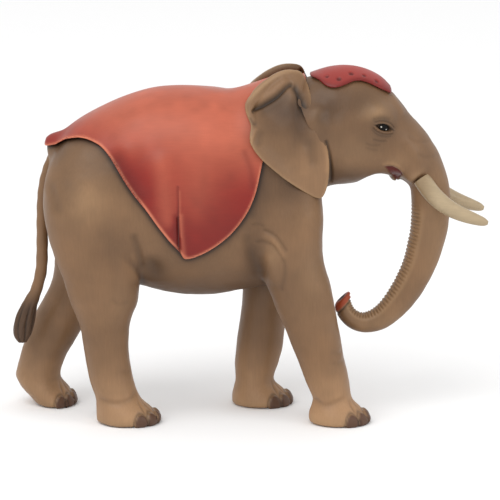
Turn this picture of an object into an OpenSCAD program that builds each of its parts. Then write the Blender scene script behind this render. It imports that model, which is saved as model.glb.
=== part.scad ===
// Carved and painted wooden elephant in a walking pose, with a saddle cloth and a head cap.
// The body is glued up from blocks. The legs, head, trunk, ears, tusks and tail are carved
// apart from it and are held by dowels and pegs.
// Axes: +X is the way the elephant faces, +Y its left side, +Z up. Z = 0 is the ground.

/* [Body] */
// Half of the barrel's width
barrel_half_w = 31.5; // [29:0.5:33]
// Height of the joint between the legs and the body
leg_joint_z = 55.5; // [55:0.5:56]
// Position along the body of the glue line between the two body blocks
glue_line_x = -31; // [-34:0.5:-26]
// Half of the distance between the left and the right feet
stance_half_w = 17.5; // [16:0.5:18]

/* [Cloth and cap] */
// Thickness of the saddle cloth
cloth_t = 1.6; // [1.2:0.1:2.5]
// Thickness of the head cap
cap_t = 1.4; // [1:0.1:2]

/* [Ears] */
// Thickness of an ear
ear_t = 2.4; // [1.8:0.1:3.5]

/* [Dowels] */
// Diameter of the dowels between the body blocks and in the neck
body_dowel_d = 8; // [6:0.5:10]
// Diameter of the dowels in the legs and the trunk
leg_dowel_d = 6; // [4:0.5:7]

/* [Hidden] */

SIDES = 26;            // points round a section of the body, head or a leg
THIN_SIDES = 18;       // points round a tusk or tail section
RIGHT = -1;            // the elephant's right side is -Y
LEFT = 1;
FAR = 400;             // larger than the whole object, for half spaces
BORE_FN = 48;

// Sections of the barrel: [x, bottom z, top z, half width as a share of barrel_half_w]
barrel_sections = [
    [-90, 98.3, 114.3, 0.25],
    [-87.5, 88.3, 121.3, 0.5],
    [-82, 76.3, 128.3, 0.71],
    [-74.5, 68.9, 134.3, 0.84],
    [-65, 64.7, 139.5, 0.93],
    [-55, 61.7, 143.9, 0.98],
    [-43, 58.3, 147.5, 1],
    [-31, 55.9, 148.5, 1.01],
    [-17, 55.7, 147.9, 1],
    [-7, 57.3, 146.7, 0.97],
    [3, 59.1, 148.7, 0.9],
    [12, 61.3, 151.3, 0.82],
    [20, 66.3, 151.3, 0.73],
    [25.5, 73.3, 147.3, 0.6],
    [29, 82.3, 137.3, 0.38],
    [30.4, 91.3, 125.3, 0.15]
];

// Sections of a leg, from the sole up into the body: [x, y outwards from stance_half_w, z, half length, half width]
hind_right_sections = [
    [-54.8, 0, 0, 13.2, 11.2],
    [-54.7, 0, 1, 14.2, 12.2],
    [-55, 0, 4.3, 14, 12],
    [-57.8, 0, 8.5, 11.3, 10.4],
    [-59.4, 0, 11.5, 10, 9.6],
    [-62.1, 0, 19.3, 9.9, 9.6],
    [-64.2, 0, 32.3, 10, 9.8],
    [-65, 0, 42.8, 10.9, 10.8],
    [-65.3, 0, 49.3, 12.6, 12],
    [-65.3, 0, 57.3, 15.5, 12.8],
    [-66.6, -0.5, 67.3, 17.3, 13.7],
    [-69.8, -1, 81.3, 19, 14.6],
    [-71.6, -2, 97.3, 19.6, 15.2],
    [-71.5, -4, 110.3, 17, 13.5],
    [-70, -7, 122.3, 8.5, 8]
];
hind_left_sections = [
    [-88, -2.2, 0, 8.2, 11],
    [-88.8, -2.2, 1.1, 9.6, 12],
    [-90.8, -2.2, 4.5, 10.4, 12],
    [-93.2, -2.2, 7.3, 10.6, 11.4],
    [-95.6, -2.1, 10.3, 10.4, 10.6],
    [-97, -1.9, 13.7, 10.2, 9.8],
    [-94.8, -1.6, 21.3, 10.4, 9.8],
    [-90.4, -1.2, 31.3, 11.8, 10.4],
    [-85.6, -0.4, 41.3, 12.6, 11.2],
    [-80.2, -0.2, 49.3, 13.6, 12],
    [-75.4, 0, 57.3, 14.8, 12.8],
    [-72.8, -0.5, 67.3, 16, 13.7],
    [-71.8, -1, 81.3, 18, 14.6],
    [-72, -2, 97.3, 19, 15.2],
    [-71.5, -4, 110.3, 17, 13.5],
    [-70, -7, 122.3, 8.5, 8]
];
front_right_sections = [
    [40.4, 0, 0, 12.9, 10.9],
    [40.3, 0, 0.8, 13.8, 12],
    [39.7, 0, 4.3, 13.2, 11.6],
    [37.8, -0.5, 8.7, 9.8, 9.9],
    [36.8, -0.5, 11.7, 8.8, 9.3],
    [34.6, -0.5, 19.3, 9.8, 9.6],
    [31.7, -0.5, 29.3, 10.6, 10],
    [27.9, -0.5, 42.3, 11.9, 10.8],
    [24.6, -0.5, 53.3, 13.3, 11.8],
    [21.8, -0.8, 64.3, 13.9, 12.2],
    [18, -2, 76.3, 13.6, 12.4],
    [14.5, -3.5, 89.3, 13.2, 12.4],
    [13, -6, 103.3, 12, 10.8],
    [12, -9, 115.3, 7, 7]
];
front_left_sections = [
    [5.8, -2.6, 0, 12.9, 10.9],
    [5.7, -2.6, 0.7, 13.7, 12],
    [5.2, -2.6, 4.3, 13.3, 11.6],
    [2.8, -2.5, 8.7, 9.9, 9.9],
    [2.1, -2.4, 12.1, 8.7, 9.3],
    [2.9, -2, 18.3, 9.8, 9.6],
    [4.3, -1.6, 26.3, 10.6, 10],
    [5.4, -1.1, 35.3, 10.6, 10.4],
    [6.8, -0.6, 45.3, 10.7, 11],
    [8.6, -0.5, 54.3, 11.9, 11.8],
    [10.3, -0.8, 64.3, 12.8, 12.2],
    [11.5, -2, 76.3, 13.2, 12.4],
    [12, -3.5, 89.3, 13, 12.4],
    [12.5, -6, 103.3, 12, 10.8],
    [12, -9, 115.3, 7, 7]
];

// Sections of the neck, head and trunk along one curve: [x, y, z, half width, half depth]
head_sections = [
    [6, 0, 121.3, 19, 24],
    [19, 0, 126.7, 20, 24.6],
    [31, 0, 129.5, 20.3, 23.6],
    [42, 0, 133.4, 19.8, 24.8],
    [51.5, 0, 130.1, 18.3, 22],
    [61.4, 0, 125.1, 16, 17],
    [71.8, 0, 118.9, 13.4, 12],
    [78.9, 0, 109.5, 11.2, 9],
    [81, 0, 99.8, 9.4, 8.8],
    [80.8, 0, 88.3, 8.4, 8.5],
    [78.8, 0, 77.3, 7.9, 8],
    [75.8, 0, 67.5, 7.4, 7.4],
    [71.3, 0, 58.3, 6.8, 6.8],
    [65.8, 0, 50.5, 6.2, 6.2],
    [59.8, 0, 44.5, 5.5, 5.4],
    [53, 0, 41.7, 5, 4.7],
    [47.2, 0, 42.7, 4.6, 4.3],
    [43.4, 0, 46.3, 4.3, 4],
    [41.8, 0, 50.7, 4.2, 3.8],
    [42, 0, 56.3, 4, 3.4]
];
lip_sections = [
    [46, 0, 116.5, 9, 6.6],
    [55, 0, 115.1, 6.6, 3.8],
    [61.5, 0, 112.3, 4.2, 2.4],
    [65.4, 0, 109.1, 2, 1.2]
];
cheek_centre = [44.5, 0, 121];
cheek_size = [16, 16.5, 13.6];
sheath_sections = [
    [67, 7.5, 118.3, 4, 4],
    [72, 8.6, 114.3, 4.8, 5],
    [76.2, 9.7, 110.3, 4.9, 5]
];

// Sections of a tusk on the left side, from its peg to its tip
tusk_sections = [
    [76.4, 9.8, 110.1, 4, 4],
    [80.8, 12, 104.1, 3.9, 4],
    [85.6, 13.5, 99.7, 3.7, 3.8],
    [90.6, 14.5, 96.6, 3.4, 3.5],
    [95.6, 15, 94.4, 3, 3.1],
    [100.2, 15.3, 92.8, 2.5, 2.6],
    [104, 15.5, 91.6, 1.9, 1.9],
    [105.9, 15.5, 91.1, 0.9, 0.9]
];
tusk_peg_d = 4.5;
tusk_peg_l = 8;

tail_sections = [
    [-82.5, 0, 124.3, 3.4, 3.2],
    [-86, 0, 120.3, 3.1, 3],
    [-89.1, 0, 114.9, 2.9, 2.8],
    [-91.6, 0, 107.3, 2.7, 2.7],
    [-92.9, 0, 98.8, 2.6, 2.6],
    [-93.4, 0, 88.3, 2.5, 2.5],
    [-93.5, 0, 76.3, 2.5, 2.6],
    [-94.1, 0, 65.8, 2.4, 2.6],
    [-96.4, 0, 56.8, 2.4, 2.6],
    [-99.4, 0, 49.9, 3, 3.3],
    [-101.9, 0, 42.5, 3.6, 4.1],
    [-103, 0, 36.3, 3.2, 3.7],
    [-102.9, 0, 32.5, 1.6, 1.8]
];
tail_peg_d = 5;
tail_peg_l = 9;

// Rim of an ear from its root on the head, round its highest point and down to its tip:
// [x, distance from the middle plane, z]
ear_rim = [
    [28.5, 17, 139.3],
    [27.5, 13, 147.3],
    [25.7, 8, 153.7],
    [23.7, 7.6, 157.5],
    [20.4, 7.3, 159.2],
    [15, 7.4, 158.5],
    [10, 8.2, 156.3],
    [4.8, 9.6, 152.3],
    [0.8, 11.5, 149],
    [-1.9, 14.5, 146.4],
    [-2.3, 18.5, 144],
    [-1.3, 22.5, 140.9],
    [0, 25.3, 137.9],
    [-0.2, 28.4, 131.1],
    [3, 29.8, 124.7],
    [9.5, 29.4, 118.3],
    [17, 27, 111.9],
    [25, 23.8, 106.1],
    [31.2, 21.6, 103.3],
    [33.8, 20.4, 106.8],
    [35.3, 18.8, 114.3],
    [34.8, 18.2, 123.3],
    [33, 18.2, 133.3]
];
ear_centre = [18.5, 23, 133];
ear_rings = 5;
ear_dish = 1.8;        // how late the dish of the ear rises to its rim
// Rolled upper and rear edge of an ear: [x, distance from the middle plane, z, half width, half depth]
ear_roll = [
    [22, 8, 156.5, 1, 1],
    [18, 8.2, 156.9, 1.8, 1.8],
    [13.5, 8.8, 156.1, 2.2, 2.2],
    [8.5, 10.2, 153.3, 2.4, 2.4],
    [4, 12.4, 149.7, 2.4, 2.4],
    [1.2, 15.6, 146.3, 2.4, 2.4],
    [0.2, 19.2, 143.5, 2, 2],
    [0.8, 22.4, 140.5, 1.4, 1.4],
    [2, 25, 137.1, 0.8, 0.8]
];

// Hem of the saddle cloth seen from the side: [x, z], from the tail to the nape
hem = [
    [-92, 123.3],
    [-86.6, 124.9],
    [-82, 127.9],
    [-77, 129.5],
    [-72.4, 129.7],
    [-67, 128.1],
    [-63.3, 125.1],
    [-60.3, 121.1],
    [-55.8, 113.9],
    [-51.3, 107.3],
    [-46.1, 100.7],
    [-40.9, 93.3],
    [-35.6, 86.1],
    [-31.5, 81.5],
    [-28.2, 77.9],
    [-23, 79.1],
    [-16.2, 82.9],
    [-8.8, 88.9],
    [-2.8, 96.3],
    [0.9, 103.1],
    [3.2, 109.9],
    [5.7, 121.3],
    [9, 133.3],
    [14, 143.3],
    [20, 149.9],
    [25, 153.5]
];

// Edge of the head cap seen from the side: [x, z], from the nape to the forehead
cap_edge = [
    [26, 152.9],
    [30.3, 153.7],
    [33, 152.7],
    [36.3, 151.8],
    [39, 152.1],
    [42.3, 153.1],
    [45.5, 154.2],
    [48.8, 154.4],
    [52.7, 153.2],
    [56.5, 151.2],
    [60, 149.3],
    [63.5, 147.2]
];
cap_dot_d = 1.8;
cap_dot_depth = 0.7;
// Punched dots on the cap: [x, distance from the middle plane, z of its surface]
cap_dots = [[34.5, 6.5, 156.5], [39.6, 9, 156.5], [44.9, 5.3, 157.5], [50.4, 4.4, 156.5], [55.8, 5, 154.4]];

neck_joint = [22, 0, 127];
neck_bottom_z = 90;    // the neck is above this height, the curl of the trunk below it
neck_tilt = 24.4;      // the neck joint's normal rises by this angle from +X
trunk_joint = [80.9, 0, 99.5];
trunk_tilt = -78;      // the trunk joint's normal drops by this angle from +X
trunk_end = [41.2, 0, 53.3];
trunk_end_tilt = 135;  // the trunk's open end faces back and up
nostril_d = 3;
nostril_depth = 3;

body_dowel_l = 32;
neck_dowel_l = 28;
leg_dowel_l = 20;
leg_dowel_pitch = 9.5;
trunk_dowel_l = 20;

// ---- curves and skins ----

// Point at t, from 0 to len(p) - 1, on a smooth curve through the points p
function on_curve(p, t) =
    let (
        n = len(p) - 1,
        i = min(floor(t), n - 1),
        f = t - i,
        a = p[max(i - 1, 0)],
        b = p[i],
        c = p[i + 1],
        d = p[min(i + 2, n)]
    )
    b + 0.5 * f * ((c - a) + f * ((2 * a - 5 * b + 4 * c - d) + f * (3 * (b - c) + d - a)));

// The same curve as a list of points, with k steps between neighbours
function curve(p, k) = [for (i = [0 : k * (len(p) - 1)]) on_curve(p, i / k)];

// Sine and cosine raised to a power below 1 give a section between an ellipse and a box
function powered(v, e) = sign(v) * pow(abs(v), e);

// One closed section: centre c, axes u and v with half sizes ru and rv
function section(c, u, v, ru, rv, sides, e = 1) = [
    for (i = [0 : sides - 1])
        let (a = 360 * i / sides)
        c + u * ru * powered(cos(a), e) + v * rv * powered(sin(a), e)
];

function unit(v) = v / norm(v);

// Sections across a curve. Each row is [x, y, z, half width, half depth]
function swept(rows, k, sides) =
    let (p = curve(rows, k), n = len(p) - 1)
    [
        for (i = [0 : n])
            let (
                here = [p[i][0], p[i][1], p[i][2]],
                a = p[max(i - 1, 0)],
                b = p[min(i + 1, n)],
                along = unit([b[0] - a[0], b[1] - a[1], b[2] - a[2]]),
                across = unit([0, 1, 0] - along[1] * along)
            )
            section(here, across, cross(along, across), p[i][3], p[i][4], sides)
    ];

// A closed skin over a list of sections that have the same number of points
module skin(rings) {
    m = len(rings[0]);
    n = len(rings);
    walls = [
        for (i = [0 : n - 2], j = [0 : m - 1])
            [i * m + j, (i + 1) * m + j, (i + 1) * m + (j + 1) % m, i * m + (j + 1) % m]
    ];
    first = [for (j = [0 : m - 1]) j];
    last = [for (j = [m - 1 : -1 : 0]) (n - 1) * m + j];
    polyhedron([for (r = rings, q = r) q], concat(walls, [first], [last]), convexity = 8);
}

// Joins its children into one closed skin
module one_skin() {
    resize([0, 0, 0]) union() children();
}

module below(z) {
    translate([-FAR / 2, -FAR / 2, z - FAR]) cube(FAR);
}

module above(z) {
    translate([-FAR / 2, -FAR / 2, z]) cube(FAR);
}

// The half space ahead of a point, where the normal rises by tilt from +X
module ahead(p, tilt) {
    translate(p) rotate([0, -tilt, 0]) translate([0, -FAR / 2, -FAR / 2]) cube(FAR);
}

module dowel(p, axis_turn, d, l) {
    translate(p) rotate(axis_turn) cylinder(d = d, h = l, center = true, $fn = BORE_FN);
}

// ---- whole forms, before they are cut into pieces ----

BARREL_POWER = 0.92;   // sections a little fuller than an ellipse

// The barrel, swollen by t for the cloth that lies on it
module barrel_form(t = 0) {
    skin([
        for (s = curve(barrel_sections, 2))
            section(
                [s[0], 0, (s[1] + s[2]) / 2], [0, 1, 0], [0, 0, 1],
                s[3] * barrel_half_w + t, (s[2] - s[1]) / 2 + t, SIDES, BARREL_POWER
            )
    ]);
}

module leg_form(rows, side, t = 0) {
    skin([
        for (s = curve(rows, 2))
            section([s[0], side * (stance_half_w + s[1]), s[2]], [1, 0, 0], [0, 1, 0], s[3] + t, s[4] + t, SIDES)
    ]);
}

// Neck, skull and trunk in one sweep, swollen by t for the cap that lies on it
module head_sweep(t = 0) {
    skin(swept([for (s = head_sections) [s[0], s[1], s[2], s[3] + t, s[4] + t]], 2, SIDES));
}

// A piece of one side, mirrored for the other side
function on_side(rows, side) = [for (s = rows) [s[0], side * s[1], s[2], s[3], s[4]]];

module head_form() {
    head_sweep();
    skin(swept(lip_sections, 2, THIN_SIDES));
    translate(cheek_centre) scale(cheek_size) sphere(1, $fn = 32);
    for (side = [LEFT, RIGHT]) skin(swept(on_side(sheath_sections, side), 2, THIN_SIDES));
}

module body_form() {
    barrel_form();
    leg_form(hind_right_sections, RIGHT);
    leg_form(hind_left_sections, LEFT);
    leg_form(front_right_sections, RIGHT);
    leg_form(front_left_sections, LEFT);
}

module tusk_form(side) {
    skin(swept(on_side(tusk_sections, side), 2, THIN_SIDES));
}

module tail_form() {
    skin(swept(tail_sections, 2, THIN_SIDES));
}

// One ring of the left ear's skin: r runs from 0 in the middle to 1 at the rim, t is its
// distance from the dished middle surface
function ear_ring(r, t) =
    let (rim = curve(concat(ear_rim, [ear_rim[0]]), 2))
    [
        for (i = [0 : len(rim) - 2])
            [
                ear_centre[0] + r * (rim[i][0] - ear_centre[0]),
                ear_centre[1] + pow(r, ear_dish) * (rim[i][1] - ear_centre[1]) + t,
                ear_centre[2] + r * (rim[i][2] - ear_centre[2])
            ]
    ];

// Half of the ear's thickness, which thins out close to the rim
function ear_half_t(r) = ear_t / 2 * sqrt(1 - 0.9 * pow(r, 6));

module ear_form(side) {
    shares = [for (i = [1 : ear_rings]) sin(90 * i / ear_rings)];
    outer = [for (r = shares) ear_ring(r, ear_half_t(r))];
    inner = [for (i = [ear_rings - 1 : -1 : 0]) ear_ring(shares[i], -ear_half_t(shares[i]))];
    mirror([0, side == RIGHT ? 1 : 0, 0]) {
        skin(concat(outer, inner));
        skin(swept(ear_roll, 2, THIN_SIDES));
    }
}

// ---- dowels and pegs ----

module body_dowel_set() {
    for (yz = [[0, 121], [-13, 87], [13, 87]])
        dowel([glue_line_x, yz[0], yz[1]], [0, 90, 0], body_dowel_d, body_dowel_l);
}

// Two dowels in each leg, over the middle of the leg's section at the joint
module leg_dowel_set() {
    for (leg = [[-65, RIGHT, 0], [-79.6, LEFT, 0], [25, RIGHT, -0.5], [8.2, LEFT, -0.5]])
        for (dx = [-0.5, 0.5])
            dowel(
                [leg[0] + dx * leg_dowel_pitch, leg[1] * (stance_half_w + leg[2]), leg_joint_z],
                [0, 0, 0], leg_dowel_d, leg_dowel_l
            );
}

module neck_dowel_set() {
    for (y = [-9, 9])
        dowel(neck_joint + [0, y, 0], [0, 90 - neck_tilt, 0], body_dowel_d, neck_dowel_l);
}

module trunk_dowel_set() {
    dowel(trunk_joint, [0, 90 - trunk_tilt, 0], leg_dowel_d, trunk_dowel_l);
}

module tusk_peg(side) {
    from = tusk_sections[0];
    to = tusk_sections[1];
    along = unit([from[0] - to[0], side * (from[1] - to[1]), from[2] - to[2]]);
    translate([from[0], side * from[1], from[2]])
        rotate([0, acos(along[2]), atan2(along[1], along[0])])
            translate([0, 0, -1]) cylinder(d = tusk_peg_d, h = tusk_peg_l + 1, $fn = BORE_FN);
}

module tail_peg() {
    translate([tail_sections[0][0] - 1, 0, tail_sections[0][2] - 1])
        rotate([0, 90, 0]) cylinder(d = tail_peg_d, h = tail_peg_l + 1, $fn = BORE_FN);
}

// ---- pieces ----

module body_rear_block() {
    color("tan") difference() {
        one_skin() difference() {
            intersection() {
                body_form();
                above(leg_joint_z);
            }
            ahead([glue_line_x, 0, 0], 0);
            tail_form();
        }
        body_dowel_set();
        leg_dowel_set();
        tail_peg();
    }
}

module body_front_block() {
    color("tan") difference() {
        one_skin() difference() {
            intersection() {
                union() {
                    body_form();
                    intersection() {
                        head_sweep();
                        above(neck_bottom_z);
                    }
                }
                ahead([glue_line_x, 0, 0], 0);
                above(leg_joint_z);
            }
            ahead(neck_joint, neck_tilt);
            ear_form(LEFT);
            ear_form(RIGHT);
        }
        body_dowel_set();
        leg_dowel_set();
        neck_dowel_set();
    }
}

module leg(rows, side) {
    color("tan") difference() {
        one_skin() intersection() {
            leg_form(rows, side);
            below(leg_joint_z);
        }
        leg_dowel_set();
    }
}

module leg_hind_right() {
    leg(hind_right_sections, RIGHT);
}

module leg_hind_left() {
    leg(hind_left_sections, LEFT);
}

module leg_front_right() {
    leg(front_right_sections, RIGHT);
}

module leg_front_left() {
    leg(front_left_sections, LEFT);
}

module head() {
    color("tan") difference() {
        one_skin() difference() {
            intersection() {
                union() {
                    head_form();
                    barrel_form();
                }
                ahead(neck_joint, neck_tilt);
            }
            ahead(trunk_joint, trunk_tilt);
            tusk_form(LEFT);
            tusk_form(RIGHT);
            ear_form(LEFT);
            ear_form(RIGHT);
        }
        neck_dowel_set();
        trunk_dowel_set();
        tusk_peg(LEFT);
        tusk_peg(RIGHT);
    }
}

module trunk() {
    color("tan") difference() {
        one_skin() difference() {
            intersection() {
                head_sweep();
                ahead(trunk_joint, trunk_tilt);
            }
            // The cut at the tip is a small block, so that it misses the rest of the curl
            translate(trunk_end) rotate([0, -trunk_end_tilt, 0]) translate([0, -10, -10]) cube(20);
        }
        trunk_dowel_set();
        translate(trunk_end) rotate([0, 90 - trunk_end_tilt, 0])
            translate([0, 0, -nostril_depth]) cylinder(d = nostril_d, h = nostril_depth + 1, $fn = BORE_FN);
    }
}

// The root of each ear sits in a slot in the head
module ear_right() {
    color("tan") one_skin() ear_form(RIGHT);
}

module ear_left() {
    color("tan") one_skin() ear_form(LEFT);
}

module tusk_right() {
    color("ivory") {
        tusk_form(RIGHT);
        tusk_peg(RIGHT);
    }
}

module tusk_left() {
    color("ivory") {
        tusk_form(LEFT);
        tusk_peg(LEFT);
    }
}

module tail() {
    color("tan") {
        tail_form();
        tail_peg();
    }
}

// Everything above a line of [x, z] points
module above_line(points) {
    n = len(points) - 1;
    translate([0, FAR / 2, 0]) rotate([90, 0, 0]) linear_extrude(FAR)
        polygon(concat(points, [[points[n][0], FAR], [points[0][0], FAR]]));
}

module saddle_cloth() {
    color("firebrick") one_skin() difference() {
        intersection() {
            union() {
                barrel_form(cloth_t);
                leg_form(hind_right_sections, RIGHT, cloth_t);
                leg_form(hind_left_sections, LEFT, cloth_t);
                head_sweep(cloth_t);
            }
            above_line(curve(hem, 2));
        }
        body_form();
        head_sweep();
        ear_form(LEFT);
        ear_form(RIGHT);
        tail_form();
    }
}

module head_cap() {
    color("firebrick") difference() {
        one_skin() difference() {
            intersection() {
                head_sweep(cap_t);
                above_line(curve(cap_edge, 2));
            }
            head_sweep();
            ear_form(LEFT);
            ear_form(RIGHT);
        }
        cap_dot_set();
    }
}

// Shallow round dots punched into the cap, square to its domed top
module cap_dot_set() {
    dome = [40, 0, 131.5];
    for (dot = cap_dots, side = [LEFT, RIGHT]) {
        out = unit([dot[0], side * dot[1], dot[2]] - dome);
        translate([dot[0], side * dot[1], dot[2]]) rotate([0, acos(out[2]), atan2(out[1], out[0])])
            translate([0, 0, -cap_dot_depth]) cylinder(d = cap_dot_d, h = 4, $fn = 24);
    }
}

module body_dowels() {
    color("burlywood") body_dowel_set();
}

module leg_dowels() {
    color("burlywood") leg_dowel_set();
}

module neck_dowels() {
    color("burlywood") neck_dowel_set();
}

module trunk_dowel() {
    color("burlywood") trunk_dowel_set();
}

body_rear_block();
body_front_block();
leg_hind_right();
leg_hind_left();
leg_front_right();
leg_front_left();
head();
trunk();
ear_right();
ear_left();
tusk_right();
tusk_left();
tail();
saddle_cloth();
head_cap();
body_dowels();
leg_dowels();
neck_dowels();
trunk_dowel();
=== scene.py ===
"""Painted carved wooden elephant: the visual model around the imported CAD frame.

The hide, ears, cloth and cap are worked out in millimetres as distance fields on a grid, meshed
and carved with strokes along the surface. The hide is then cut at the same glue joints as the
CAD pieces. Tusks, tail and eyes are closed skins over rings. The dowels are the CAD's own.
"""
import math

import bmesh
import bpy
import numpy as np
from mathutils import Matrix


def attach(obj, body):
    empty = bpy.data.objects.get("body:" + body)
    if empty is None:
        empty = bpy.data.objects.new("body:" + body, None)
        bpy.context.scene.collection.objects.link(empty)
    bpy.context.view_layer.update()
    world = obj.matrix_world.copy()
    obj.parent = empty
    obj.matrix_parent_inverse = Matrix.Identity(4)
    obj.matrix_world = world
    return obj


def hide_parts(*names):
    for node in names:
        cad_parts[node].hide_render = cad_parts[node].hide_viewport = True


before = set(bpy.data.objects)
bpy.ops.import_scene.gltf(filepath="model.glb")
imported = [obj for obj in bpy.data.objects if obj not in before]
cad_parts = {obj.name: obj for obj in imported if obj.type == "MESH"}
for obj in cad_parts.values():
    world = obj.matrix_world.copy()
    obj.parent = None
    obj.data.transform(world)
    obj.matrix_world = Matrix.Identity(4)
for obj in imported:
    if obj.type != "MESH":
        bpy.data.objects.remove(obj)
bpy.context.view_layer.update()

import openvdb as vdb
from mathutils import Vector

MM = 0.001
PITCH = 0.6
LOW = np.array([-114.0, -39.0, -4.2])
HIGH = np.array([111.0, 39.0, 165.0])
EAR_PITCH = 0.4
REACH = 9.0
FAR_OFF = 40.0

# ---- section tables, in millimetres ----
# They repeat the CAD model's tables, except LIP, SHEATH, CAP_EDGE and CAP_DOTS, which differ a little.
# Most heights were typed in and then lowered by 2.7 mm by a script.

HALF_WIDTH = 31.5
STANCE = 17.5
BARREL_POWER = 0.92

# x, lowest z, highest z, share of the greatest half width
BARREL = [
    (-90, 98.3, 114.3, 0.25), (-87.5, 88.3, 121.3, 0.5), (-82, 76.3, 128.3, 0.71),
    (-74.5, 68.9, 134.3, 0.84), (-65, 64.7, 139.5, 0.93), (-55, 61.7, 143.9, 0.98),
    (-43, 58.3, 147.5, 1), (-31, 55.9, 148.5, 1.01), (-17, 55.7, 147.9, 1),
    (-7, 57.3, 146.7, 0.97), (3, 59.1, 148.7, 0.9), (12, 61.3, 151.3, 0.82),
    (20, 66.3, 151.3, 0.73), (25.5, 73.3, 147.3, 0.6), (29, 82.3, 137.3, 0.38),
    (30.4, 91.3, 125.3, 0.15),
]
# x, y beyond the stance, z, half length, half width
HIND_RIGHT = [
    (-54.8, 0, 0, 13.2, 11.2), (-54.7, 0, 1, 14.2, 12.2), (-55, 0, 4.3, 14, 12),
    (-57.8, 0, 8.5, 11.3, 10.4), (-59.4, 0, 11.5, 10, 9.6), (-62.1, 0, 19.3, 9.9, 9.6),
    (-64.2, 0, 32.3, 10, 9.8), (-65, 0, 42.8, 10.9, 10.8), (-65.3, 0, 49.3, 12.6, 12),
    (-65.3, 0, 57.3, 15.5, 12.8), (-66.6, -0.5, 67.3, 17.3, 13.7), (-69.8, -1, 81.3, 19, 14.6),
    (-71.6, -2, 97.3, 19.6, 15.2), (-71.5, -4, 110.3, 17, 13.5), (-70, -7, 122.3, 8.5, 8),
]
HIND_LEFT = [
    (-88, -2.2, 0, 8.2, 11), (-88.8, -2.2, 1.1, 9.6, 12), (-90.8, -2.2, 4.5, 10.4, 12),
    (-93.2, -2.2, 7.3, 10.6, 11.4), (-95.6, -2.1, 10.3, 10.4, 10.6), (-97, -1.9, 13.7, 10.2, 9.8),
    (-94.8, -1.6, 21.3, 10.4, 9.8), (-90.4, -1.2, 31.3, 11.8, 10.4), (-85.6, -0.4, 41.3, 12.6, 11.2),
    (-80.2, -0.2, 49.3, 13.6, 12), (-75.4, 0, 57.3, 14.8, 12.8), (-72.8, -0.5, 67.3, 16, 13.7),
    (-71.8, -1, 81.3, 18, 14.6), (-72, -2, 97.3, 19, 15.2), (-71.5, -4, 110.3, 17, 13.5),
    (-70, -7, 122.3, 8.5, 8),
]
FRONT_RIGHT = [
    (40.4, 0, 0, 12.9, 10.9), (40.3, 0, 0.8, 13.8, 12), (39.7, 0, 4.3, 13.2, 11.6),
    (37.8, -0.5, 8.7, 9.8, 9.9), (36.8, -0.5, 11.7, 8.8, 9.3), (34.6, -0.5, 19.3, 9.8, 9.6),
    (31.7, -0.5, 29.3, 10.6, 10), (27.9, -0.5, 42.3, 11.9, 10.8), (24.6, -0.5, 53.3, 13.3, 11.8),
    (21.8, -0.8, 64.3, 13.9, 12.2), (18, -2, 76.3, 13.6, 12.4), (14.5, -3.5, 89.3, 13.2, 12.4),
    (13, -6, 103.3, 12, 10.8), (12, -9, 115.3, 7, 7),
]
FRONT_LEFT = [
    (5.8, -2.6, 0, 12.9, 10.9), (5.7, -2.6, 0.7, 13.7, 12), (5.2, -2.6, 4.3, 13.3, 11.6),
    (2.8, -2.5, 8.7, 9.9, 9.9), (2.1, -2.4, 12.1, 8.7, 9.3), (2.9, -2, 18.3, 9.8, 9.6),
    (4.3, -1.6, 26.3, 10.6, 10), (5.4, -1.1, 35.3, 10.6, 10.4), (6.8, -0.6, 45.3, 10.7, 11),
    (8.6, -0.5, 54.3, 11.9, 11.8), (10.3, -0.8, 64.3, 12.8, 12.2), (11.5, -2, 76.3, 13.2, 12.4),
    (12, -3.5, 89.3, 13, 12.4), (12.5, -6, 103.3, 12, 10.8), (12, -9, 115.3, 7, 7),
]
# x, y, z, half width, half depth along the neck, the skull and the trunk
HEAD = [
    (6, 0, 121.3, 19, 24), (19, 0, 126.7, 20, 24.6), (31, 0, 129.5, 20.3, 23.6),
    (42, 0, 133.4, 19.8, 24.8), (51.5, 0, 130.1, 18.3, 22), (61.4, 0, 125.1, 16, 17),
    (71.8, 0, 118.9, 13.4, 12), (78.9, 0, 109.5, 11.2, 9), (81, 0, 99.8, 9.4, 8.8),
    (80.8, 0, 88.3, 8.4, 8.5), (78.8, 0, 77.3, 7.9, 8), (75.8, 0, 67.5, 7.4, 7.4),
    (71.3, 0, 58.3, 6.8, 6.8), (65.8, 0, 50.5, 6.2, 6.2), (59.8, 0, 44.5, 5.5, 5.4),
    (53, 0, 41.7, 5, 4.7), (47.2, 0, 42.7, 4.6, 4.3), (43.4, 0, 46.3, 4.3, 4),
    (41.8, 0, 50.7, 4.2, 3.8), (42, 0, 56.3, 4, 3.4),
]
LIP = [
    (46, 0, 116.5, 9, 6.6), (55, 0, 115.3, 6.6, 3.6), (62, 0, 112.6, 4.2, 2.3),
    (65.8, 0, 108.6, 2.6, 1.5),
]
SHEATH = [(67, 7.5, 118.3, 4, 4), (71.5, 8.6, 114.8, 4.8, 5), (75, 9.4, 111.5, 4.8, 4.9)]
TUSK = [
    (76.4, 9.8, 110.1, 4, 4), (80.8, 12, 104.1, 3.9, 4), (85.6, 13.5, 99.7, 3.7, 3.8),
    (90.6, 14.5, 96.6, 3.4, 3.5), (95.6, 15, 94.4, 3, 3.1), (100.2, 15.3, 92.8, 2.5, 2.6),
    (104, 15.5, 91.6, 1.9, 1.9), (105.9, 15.5, 91.1, 0.9, 0.9),
]
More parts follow.
